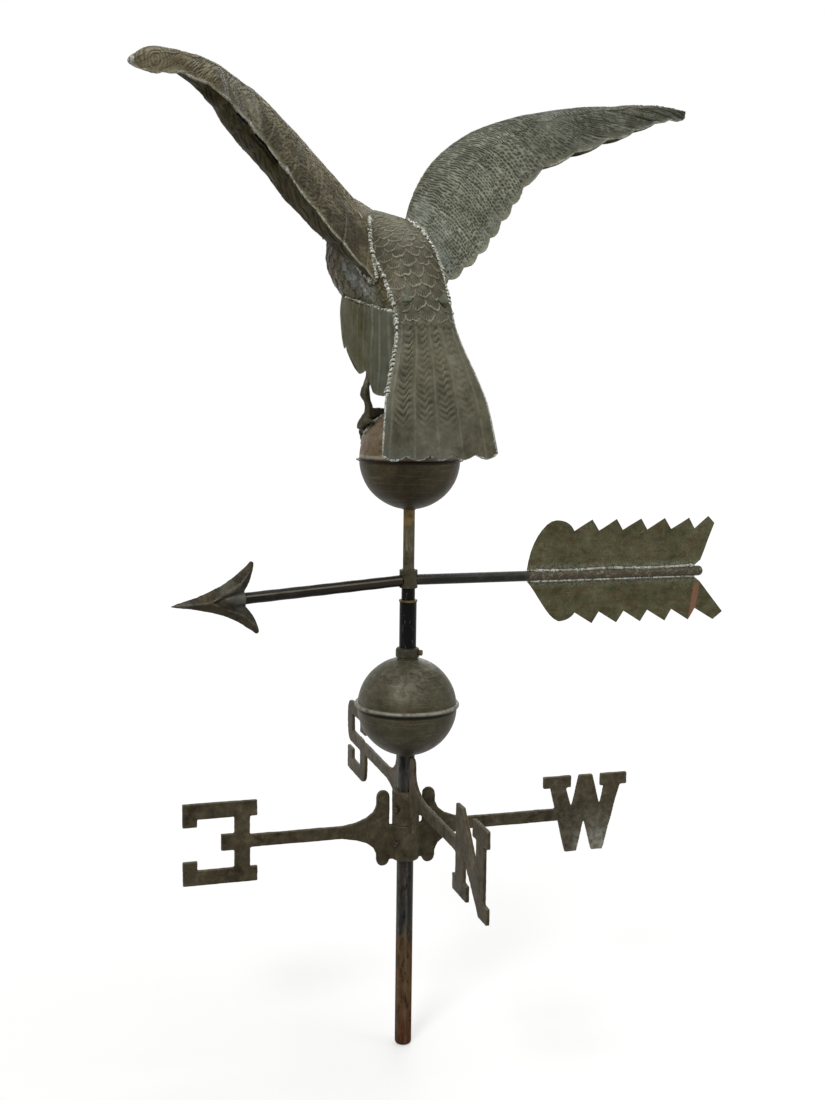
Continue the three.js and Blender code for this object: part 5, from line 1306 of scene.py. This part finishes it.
            # Painted shade: the underside darkened along the open seam under the trailing edge
            open_seam_shade = (smooth(t, 0.415, 0.425) * smooth(t, 0.521, 0.511)
                    + smooth(t, 0.551, 0.556) * smooth(t, 0.577, 0.572))
            open_seam_shade = smooth(margin, 4.2, 2.6) * open_seam_shade
            marks = marks * (1 - open_seam_shade) + 2.5 * open_seam_shade
    edge_all = np.minimum(np.minimum(depth, margin), (1 - t) * 300)
    deep = (0.55 if upper > 0 else 0.6) * marks
    if upper > 0:
        marks = shade + (1 - shade) * marks
    uneven = 0.55 * lumps(base, 30, seed) + 0.2 * lumps(base, 9, seed + 1)
    height = (height - deep) * np.clip(edge_all / 3, 0, 1) + uneven * np.clip(edge_all / 6, 0, 1)
    rel = rel + 0.8 * np.exp(-margin / 1.3) * (0.6 + 0.3 * waver)
    tin = 0.4 * np.exp(-margin / 1.4) + 0.2 * np.exp(-depth / 1.6)
    tip = smooth(t, 0.965, 0.995) * (1.0 if not right else 0.5)
    tin = np.maximum(tin, tip) * (0.75 + 0.4 * lumps(base, 16, seed + 7))
    if upper > 0 and not right:
        for st, su, size in ((0.525, 0.985, 4.0), (0.395, 0.985, 4.2), (0.11, 0.3, 4)):
            spot = np.hypot((t - st) * WING_SPAN, (v - su) * chord)
            tin = np.maximum(tin, 0.95 * bell(spot, size))
    relief_sheet(name, base + normal * height[..., None], base - normal * 0.95, key, node, "wing_copper",
                 np.clip(marks, 0, 1), tone, rel, np.clip(tin, 0, 1))


dense = ((600, 190))
plainer = ((360, 110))
wing_skin("right_wing_top", -1, 1, "wing_right", "right_wing_top_shell", *dense, 70)
wing_skin("left_wing_top", 1, 1, "wing_left", "left_wing_top_shell", *dense, 80)
wing_skin("right_wing_under", -1, -1, "wing_under", "right_wing_under_shell", *plainer, 90)
wing_skin("left_wing_under", 1, -1, "wing_under", "left_wing_under_shell", *plainer, 100)

for side_sign, label in ((1, "left"), (-1, "right")):
    tt = np.linspace(0.12, 1.0, 500)
    trail, lead = wing_edges(side_sign, tt)
    shift = np.array([0, 0, STAND])
    for edge_name, line_ in (("trailing", trail), ("leading", lead)):
        run = line_ * [1, side_sign, 1] + shift
        bright = edge_name == "trailing" and side_sign > 0
        if edge_name == "trailing":
            tip_run = line_[-1] + (lead[-1] - trail[-1]) * np.linspace(-0.05, 1.05, 30)[:, None]
            tip_run = tip_run * [1, side_sign, 1] + shift
            bead("%s_wing_tip_solder" % label, to_row(tip_run), 2.6 if side_sign > 0 else 1.9, "solder_line",
                 170 + side_sign, step=0.6, around=16, crust=0.3)
        bead("%s_wing_%s_solder" % (label, edge_name), to_row(run), 1.0 if bright else 0.8,
             "solder_line" if edge_name == "trailing" else "solder_dull", 120 + side_sign + len(edge_name),
             step=1.1, around=8)
    # Solder where the wing's skins run into the trunk
    for upper, part in ((1, "top"), (-1, "under")):
        spots = []
        for u in np.linspace(0.02, 0.98, 56):
            ts = np.linspace(0.0, 0.4, 60)
            p = wing_base(side_sign, upper, ts, 0 * ts + u)[0]
            out = np.array([outside_trunk(x) for x in p])
            inside = np.where(out < 0)[0]
            if len(inside):
                k = min(inside[-1] + 1, len(p) - 1)
                spots.append(p[k])
        if len(spots) > 5:
            bead("%s_wing_root_%s_solder" % (label, part), to_row(spots), 2.8, "solder",
                 130 + upper + side_sign * 3, crust=0.3, around=14, step=0.55, dab=4.6)

# The open seam under the left wing's trailing edge, drawn as a near-black tube: painted shade in the gap
for number, (low_t, high_t) in enumerate(((0.42, 0.512), (0.535, 0.588))):
    tt = np.linspace(low_t, high_t, 80)
    trail, lead = wing_edges(1, tt)
    inward = unit(lead - trail)
    under = -np.stack([-inward[:, 2], 0 * inward[:, 0], inward[:, 0]], -1)
    run = (trail + under * 1.7 - inward * 0.9) + [0, 0, STAND]
    bead("left_wing_open_seam_%d" % (number + 1), to_row(run), 1.35, "gap", 180 + number, around=12,
         crust=0.3)

# Head: columns are the crown's place forward and up, the throat's place forward and up, half the width

HEAD_SIZE, NECK_HALF = 118, 22
HEAD = [[-0.169, 0.085, 0.185, -0.092, 1.18], [0.038, 0.177, 0.254, -0.131, 1.05], [0.254, 0.246, 0.331, -0.123, 1],
        [0.469, 0.231, 0.438, -0.108, 0.86], [0.608, 0.138, 0.546, -0.062, 0.55], [0.746, 0.085, 0.646, -0.031, 0.34],
        [0.831, -0.008, 0.723, -0.046, 0.23], [0.823, -0.123, 0.792, -0.131, 0.07]]
neck_mid = (np.array(back_pts[-1]) + np.array(belly_pts[-1])) / 2
crown_line = curve([[r[0] * HEAD_SIZE, 0, r[1] * HEAD_SIZE] for r in HEAD])
throat_line = curve([[r[2] * HEAD_SIZE, 0, r[3] * HEAD_SIZE] for r in HEAD])
head_width = curve([[r[4] * NECK_HALF, 0, 0] for r in HEAD])
rows, cols = 230, 180
t, angle = np.meshgrid(np.linspace(0, 1, rows), np.linspace(0, 2 * math.pi, cols, endpoint=False), indexing="ij")
crown, throat = crown_line(t) + neck_mid, throat_line(t) + neck_mid
mid = (crown + throat) / 2
base = mid + (crown - mid) * np.cos(angle)[..., None]
base[..., 1] = head_width(t)[..., 0] * np.sin(angle)
normal = outward(base, mid, True)
s = arc(base, 0)[:, cols // 4][:, None] + 0 * t
around = np.where(angle > math.pi, angle - 2 * math.pi, angle)
side = around * NECK_HALF
ramp, edge, *_ = stage_scale(s.max() - s, side, lambda e: 6.5 + 0 * e, lambda e: 9.0 + 0 * e, lambda e: 3.6 + 0 * e)
plume = 1 - smooth(t, 0.52, 0.6)
height = plume * (0.5 * ramp ** 1.4 + 0.2 * bell(edge - 0.7, 0.6))
flat_angle = np.abs(around)
brow = np.exp(-(((t - 0.47) / 0.08) ** 2 + ((flat_angle - 0.95) / 0.16) ** 2))
socket = np.exp(-(((t - 0.475) / 0.05) ** 2 + ((flat_angle - 1.28) / 0.17) ** 2))
eye = np.exp(-((((t - 0.475) / 0.022) ** 2 + ((flat_angle - 1.28) / 0.085) ** 2)) ** 2)
mouth = bell(flat_angle - 1.95, 0.06) * smooth(t, 0.5, 0.56) * (1 - smooth(t, 0.86, 0.93))
nostril = np.exp(-(((t - 0.66) / 0.014) ** 2 + ((flat_angle - 1.15) / 0.12) ** 2))
cere = smooth(t, 0.6, 0.612) * (1 - smooth(t, 0.7, 0.71))
height = height + 1.9 * brow - 1.5 * socket + 2.1 * eye - 0.9 * mouth - 0.8 * nostril + 0.35 * cere
height = height + 0.25 * lumps(base, 12, 19)
# Paler plume rims with a painted shadow just under them; painted shade in the eye socket, mouth line and nostril, and
# a paler brow and eye
rel = plume * (0.5 * bell(edge - 0.7, 0.6) - 0.7 * np.exp(-ramp * 7))
rel = rel + 0.4 * brow - 0.8 * socket + 0.9 * eye - mouth - nostril
tin = 0.6 * np.exp(-s / 4)
marks = plume * pits(s, side, 8, 2.2, 46, half=0.4) * 0.7
# The beak's tip closes both faces of the sheet in one point
outer = base + normal * height[..., None]
tip = np.repeat(outer[-1:].mean(1, keepdims=True), cols, 1)
outer = np.concatenate([outer, tip])
inner = np.concatenate([base - normal * np.minimum(1.0, 0.4 * head_width(t)[..., :1]), tip])
values = [np.concatenate([v, v[-1:]]) for v in (marks, 0 * s, rel, tin)]
relief_sheet("eagle_head_formed", outer, inner, "head", "eagle_head", "body_copper", *values, wrap=True)

# Thighs: columns are the front and rear of a level, its height and half its width

THIGH_LONG, THIGH_HIGH, THIGH_HALF = 140, 107, 18
SEAM_SLOPE, SEAM_START, SEAM_Z = 0.172, -42, STAND - 1
THIGH = [[0.42, -0.16, 0.2, 0.6], [0.5, -0.46, -0.04, 0.97], [0.48, -0.47, -0.355, 0.97], [0.43, -0.455, -0.52, 0.92],
         [0.2, -0.42, -0.785, 0.8], [-0.02, -0.39, -1.05, 0.62]]
STEPS = [[0.479, 0.43, -0.355], [0.43, 0.3, -0.523], [0.15, -0.1, -0.785], [-0.19, -0.46, -1]]
thigh_line = curve([[a, b, c] for a, b, c, w in THIGH])
thigh_width = curve([[w, 0, 0] for a, b, c, w in THIGH])


def thigh_floor(x):
    """Height of the stepped lower edge at a place forward or back of the thigh's middle."""
    xs, zs = [], []
    for a, b, low in STEPS:
        for w in np.linspace(0, 1, 14):
            xs.append((a + (b - a) * w) * THIGH_LONG)
            zs.append(low * THIGH_HIGH + 5 - 5 * math.sin(math.pi * w) ** 0.6)
    order = np.argsort(xs)
    return np.interp(x, np.array(xs)[order], np.array(zs)[order])


def top_seam(x):
    """Height of the straight soldered seam over the thighs."""
    return SEAM_Z + (x - SEAM_START) * SEAM_SLOPE


def trunk_side(x, z):
    """How far the trunk's skin lies to the side at a place seen from the side."""
    place = trunk_tree.ray_cast(Vector((x, 150, z)), Vector((0, -1, 0)))[0]
    return place.y if place else 0.0


for side_sign, label in ((1, "left"), (-1, "right")):
    rows, cols = 130, 200
    fine = np.linspace(0, 1, 500)
    rings = thigh_line(fine)
    wide = thigh_width(fine)[:, 0]
    ang = np.linspace(0, 2 * math.pi, cols, endpoint=False)
    front, rear = rings[:, :1], rings[:, 1:2]
    x = (front + rear) / 2 * THIGH_LONG + (front - rear) / 2 * THIGH_LONG * np.cos(ang)
    z = rings[:, 2:] * THIGH_HIGH + 0 * x
    y = (wide * THIGH_HALF)[:, None] * np.sin(ang)
    below = z < thigh_floor(x)
    stop = np.where(below.any(0), below.argmax(0), 499)
    pick = (np.linspace(0, 1, rows)[:, None] * stop[None, :])
    grid = np.stack([np.stack([np.interp(pick[:, c], np.arange(500), way_[:, c]) for c in range(cols)], 1)
                     for way_ in (x, y, z)], -1)
    grid[..., 0] += 40
    grid[..., 2] += STAND + 20
    grid[..., 0] -= 5 * smooth(-np.cos(ang), 0.2, 1.0) * smooth(grid[..., 2], STAND - 60, STAND - 8)
    seam_z = top_seam(grid[..., 0])
    reach_out = 28 + np.where(np.sin(ang) * side_sign > 0, np.abs(grid[..., 1]), -np.abs(grid[..., 1]))
    skin = np.array([[trunk_side(a, b) for a, b in zip(ra, rb)] for ra, rb in zip(grid[::3, :, 0], grid[::3, :, 2])])
    skin = np.stack([np.interp(np.arange(rows), np.arange(rows)[::3], skin[:, c]) for c in range(cols)], 1)
    facing_out = np.sin(ang)[None] * side_sign > 0.02
    skin = np.where((grid[..., 0] > -31) & (grid[..., 2] > STAND - 24), np.minimum(skin, 45.5), 0)
    covered = (seam_z - grid[..., 2] > 0) & (skin > 0) & facing_out
    reach_out = np.where(covered, np.maximum(reach_out, skin + 1.3 * smooth(seam_z - grid[..., 2], -1, 5)), reach_out)
    reach_out = np.where((seam_z - grid[..., 2] <= 0) & (skin > 0), np.minimum(reach_out, skin - 0.8), reach_out)
    grid[..., 1] = side_sign * reach_out
    normal = outward(grid, grid.mean(1, keepdims=True), True)
    down = arc(grid, 0)
    lean = grid[..., 0] + 0.12 * (grid[..., 2] - STAND) + 1.2 * lumps(grid * [1, 1, 0.25], 18, 7)
    coarse, fine_ = np.abs((lean / 14.5) % 1 - 0.5) * 14.5, np.abs((lean / 4.8) % 1 - 0.5) * 4.8
    patchy = 0.6 + 0.4 * lumps(grid * [1, 1, 0.3], 12, 8)
    flute = bell(coarse, 1.5)
    rear = 1 - smooth(grid[..., 0], 44, 62)
    height = (0.35 * flute - 0.12) * rear + 0.1 * bell(fine_, 0.8) + 0.45 * lumps(grid, 22, 17)
    rel = rear * np.clip(patchy, 0, 1.2) * (flute + 0.3 * bell(fine_, 0.7))
    rel = rel + (1 - rear) * 0.16 * bell(fine_, 0.8) * patchy
    hem = down[-1:] - down
    rel = rel + 0.8 * np.exp(-hem / 1.2)
    tin = 0.35 * np.exp(-hem / 1.5) + 0 * hem
    front_panel = smooth(grid[..., 0], 52, 66)
    marks = (1 - front_panel) * 0.5 * bell(coarse - 4.2, 1.4) * patchy
    tone = -0.5 * smooth(grid[..., 0], 34, 0) * (0.8 + 0.2 * lumps(grid, 9, 27)) + 0.05 * front_panel
    over = [[x, side_sign * (trunk_side(x, top_seam(x)) + 0.9), top_seam(x)] for x in np.linspace(-30, 84, 120)]
    bead("%s_thigh_top_solder" % label, to_row(over), 1.7, "solder", 150 + side_sign,
         around=12, step=0.55, dab=4.6)
    relief_sheet("%s_thigh_formed" % label, grid + normal * height[..., None], grid - normal, "thigh",
                 "%s_thigh" % label, "thigh_copper", marks, tone, rel, tin, wrap=True)


def limb(points, radii, around=14):
    """A tapering round limb as points and faces."""
    n = len(points)
    k = np.linspace(0, n - 1, n * 7)
    line_ = curve(points)(k / (n - 1))
    grid, _ = tube_around(line_, np.interp(k, np.arange(n), radii), around, [0.2, 0.93, 0.3])
    grid = np.concatenate([np.repeat(line_[:1, None], around, 1), grid, np.repeat(line_[-1:, None], around, 1)])
    return grid.reshape(-1, 3), quads(len(grid), around, True)


# Feet: the shank from the ankle up, the pads and the toes; a toe's columns are its place along, its height and girth

SHANK = [[28, 36.8, 729], [28, 38.6, 737], [28, 41.2, 745], [28, 40.0, 753.5], [28, 36.6, 764], [30, 32, 800],
         [31, 30, STAND + 10]]
SHANK_RADII = [6.5, 4.6, 4.0, 5.3, 4.0, 4.0, 4.6, 5.0]
PADS = (([[28, 41, 716], [28, 35, 721.5], [28, 25, 723.5], [27, 14, 724]], [6.5, 7.0, 6.2, 4.6]),
        ([[28, 40, 712], [28, 26, 718.5], [27, 13, 722]], [4.5, 4.5, 3.6]),
        ([[29, 36, 718], [30, 43, 713], [30, 45.5, 706]], [6.5, 6.0, 4.6]))
TOE_HIGH, TOE_THICK, OFF_BALL = 10.6, 4.9, 0.35
TOE = [[-0.08, 0.7, 1.1], [0.25, 0.5, 0.95], [0.5, 0.6, 0.8], [0.66, 0.42, 0.62], [0.85, 0.4, 0.42], [1, 0.1, 0.14]]
for side_sign, label in ((1, "left"), (-1, "right")):
    ankle_way = unit(np.array([0.47, side_sign * 0.637, 0.61]))
    centre = np.array([0, 0, UPPER_BALL])
    ankle = centre + ankle_way * (BALL_R + 4.2)
    way_up = np.array([1, side_sign, 1])
    shank = np.vstack([ankle - ankle_way, way_up * np.array(SHANK)])
    pieces = [limb(shank, SHANK_RADII)]
    pieces += [limb(way_up * np.array(line_), radii, 20) for line_, radii in PADS]
    ahead = np.array([1.0, 0, 0])
    ahead = unit(ahead - ankle_way * ahead.dot(ankle_way))
    across = np.cross(ankle_way, ahead)
    for turn_ in (-0.55, 0, 0.55, math.pi):
        length = 22 if turn_ == math.pi else 24
        way_ = ahead * math.cos(turn_) + across * math.sin(turn_)
        pts = []
        for along_, high, _ in TOE:
            a_ = along_ * length / BALL_R
            pts.append(centre + (ankle_way * math.cos(a_) + way_ * math.sin(a_)) * (BALL_R + 0.45 + high * TOE_HIGH))
        pieces.append(limb(pts, [r[2] * TOE_THICK for r in TOE]))
    mesh, p, nn = fused([(q, [f]) for q, f in pieces], 0.7, 4)
    p = p + nn * (0.22 * lumps(p, 2.6, 33) + 0.25 * lumps(p, 8, 34))[:, None]
    rad = np.linalg.norm(p - centre, axis=1)
    short = rad < BALL_R + OFF_BALL
    p[short] = centre + (p[short] - centre) * ((BALL_R + OFF_BALL) / rad[short])[:, None]
    set_points(mesh, to_row(p))
    finish_piece("%s_foot_formed" % label, mesh, "vane", "leg", ("%s_foot" % label,), 70)
    # Solder where the foot meets the ball
    a_ = np.linspace(0, 1, 60)
    ring = np.stack([25 - 6 * np.sin(math.pi * a_), side_sign * (48 - 38 * a_), 0 * a_], 1)
    ring[:, 2] = UPPER_BALL + np.sqrt((BALL_R + 0.7) ** 2 - ring[:, 0] ** 2 - ring[:, 1] ** 2)
    bead("%s_foot_solder" % label, to_row(ring), 1.5, "solder_dull", 140 + side_sign, crust=0.7)

# Floor, world, lamps and camera

ground = bpy.data.meshes.new("floor")
ground.from_pydata([(-12, -12, -0.0005), (12, -12, -0.0005), (12, 12, -0.0005), (-12, 12, -0.0005)], [],
                   [(0, 1, 2, 3)])
floor = bpy.data.objects.new("floor", ground)
bpy.context.scene.collection.objects.link(floor)


def shown(k):
    """1 for the rays that show the background: the camera's own, and those off gloss and through glass."""
    rays = k.make("ShaderNodeLightPath").outputs
    seen = k.math("MAXIMUM", rays["Is Camera Ray"], rays["Is Glossy Ray"])
    return k.math("MAXIMUM", seen, rays["Is Transmission Ray"])


# White far off, and closer to plain paint round the mast's foot, so the object's shadow shows there
k = Look("pale_floor")
from_foot = k.make("ShaderNodeVectorMath", {0: k.mm}, operation="LENGTH").outputs["Value"]
white_share = k.make("ShaderNodeMapRange", {0: from_foot, 1: 350.0, 2: 1700.0, 3: 0.45, 4: 1.0},
                     interpolation_type="SMOOTHSTEP").outputs[0]
seen = shown(k)
paint = k.mix(seen, (0.3, 0.29, 0.27, 1), (0.93, 0.93, 0.93, 1))
plain = k.make("ShaderNodeBsdfDiffuse", {0: paint}).outputs[0]
glow = k.make("ShaderNodeEmission", {0: (1, 1, 1, 1), 1: 1.06}).outputs[0]
blend = k.make("ShaderNodeMixShader", {0: seen * white_share, 1: plain, 2: glow})
k.make("ShaderNodeOutputMaterial", {0: blend.outputs[0]})
ground.materials.append(k.material)

world = bpy.data.worlds.new("studio")
bpy.context.scene.world = world
k = Nodes(world)
soft = k.make("ShaderNodeBackground", {0: (1.0, 0.99, 0.96, 1), 1: 0.42}).outputs[0]
white = k.make("ShaderNodeBackground", {0: (1, 1, 1, 1), 1: 1.0}).outputs[0]
blend = k.make("ShaderNodeMixShader", {0: shown(k), 1: soft, 2: white})
k.make("ShaderNodeOutputWorld", {0: blend.outputs[0]})


LAMP_AIM = Vector((0, 0, 0.6))


def lamp(name, place, size, power):
    data = bpy.data.lights.new(name, "AREA")
    data.shape = "DISK"
    data.size = size
    data.energy = power
    obj = bpy.data.objects.new(name, data)
    bpy.context.scene.collection.objects.link(obj)
    obj.location = place
    obj.rotation_euler = (LAMP_AIM - Vector(place)).to_track_quat("-Z", "Y").to_euler()


lamp("key", (-1.5, -1.9, 2.5), 1.0, 44)
lamp("top", (0.4, 0.2, 2.9), 1.4, 29)
lamp("fill", (1.9, -1.3, 1.2), 1.3, 9)
lamp("front", (0.9, 2.3, 1.5), 1.6, 15)

view = bpy.data.cameras.new("view")
view.sensor_fit = "AUTO"
view.sensor_width = 36.0
view.lens = 1400.0 / 1100.0 * 36.0
view.clip_start = 0.05
view.clip_end = 60.0
camera = bpy.data.objects.new("view", view)
bpy.context.scene.collection.objects.link(camera)
th, ps, tilt, heading = 0.12997, 0.00269, 0.01239, 0.28671
fw = Vector((math.sin(ps) * math.cos(th), math.cos(ps) * math.cos(th), -math.sin(th)))
rt = Vector((math.cos(ps), -math.sin(ps), 0))
up = rt.cross(fw)
spin = Matrix(((math.cos(heading), math.sin(heading), 0), (-math.sin(heading), math.cos(heading), 0), (0, 0, 1)))
right = spin @ (math.cos(tilt) * rt + math.sin(tilt) * up)
above = spin @ (-math.sin(tilt) * rt + math.cos(tilt) * up)
ahead = spin @ fw
camera.matrix_world = Matrix((
    (right.x, above.x, -ahead.x, -0.4333484),
    (right.y, above.y, -ahead.y, -1.4698083),
    (right.z, above.z, -ahead.z, 0.774519),
    (0, 0, 0, 1)))
bpy.context.scene.camera = camera
bpy.context.scene.view_settings.view_transform = "Standard"
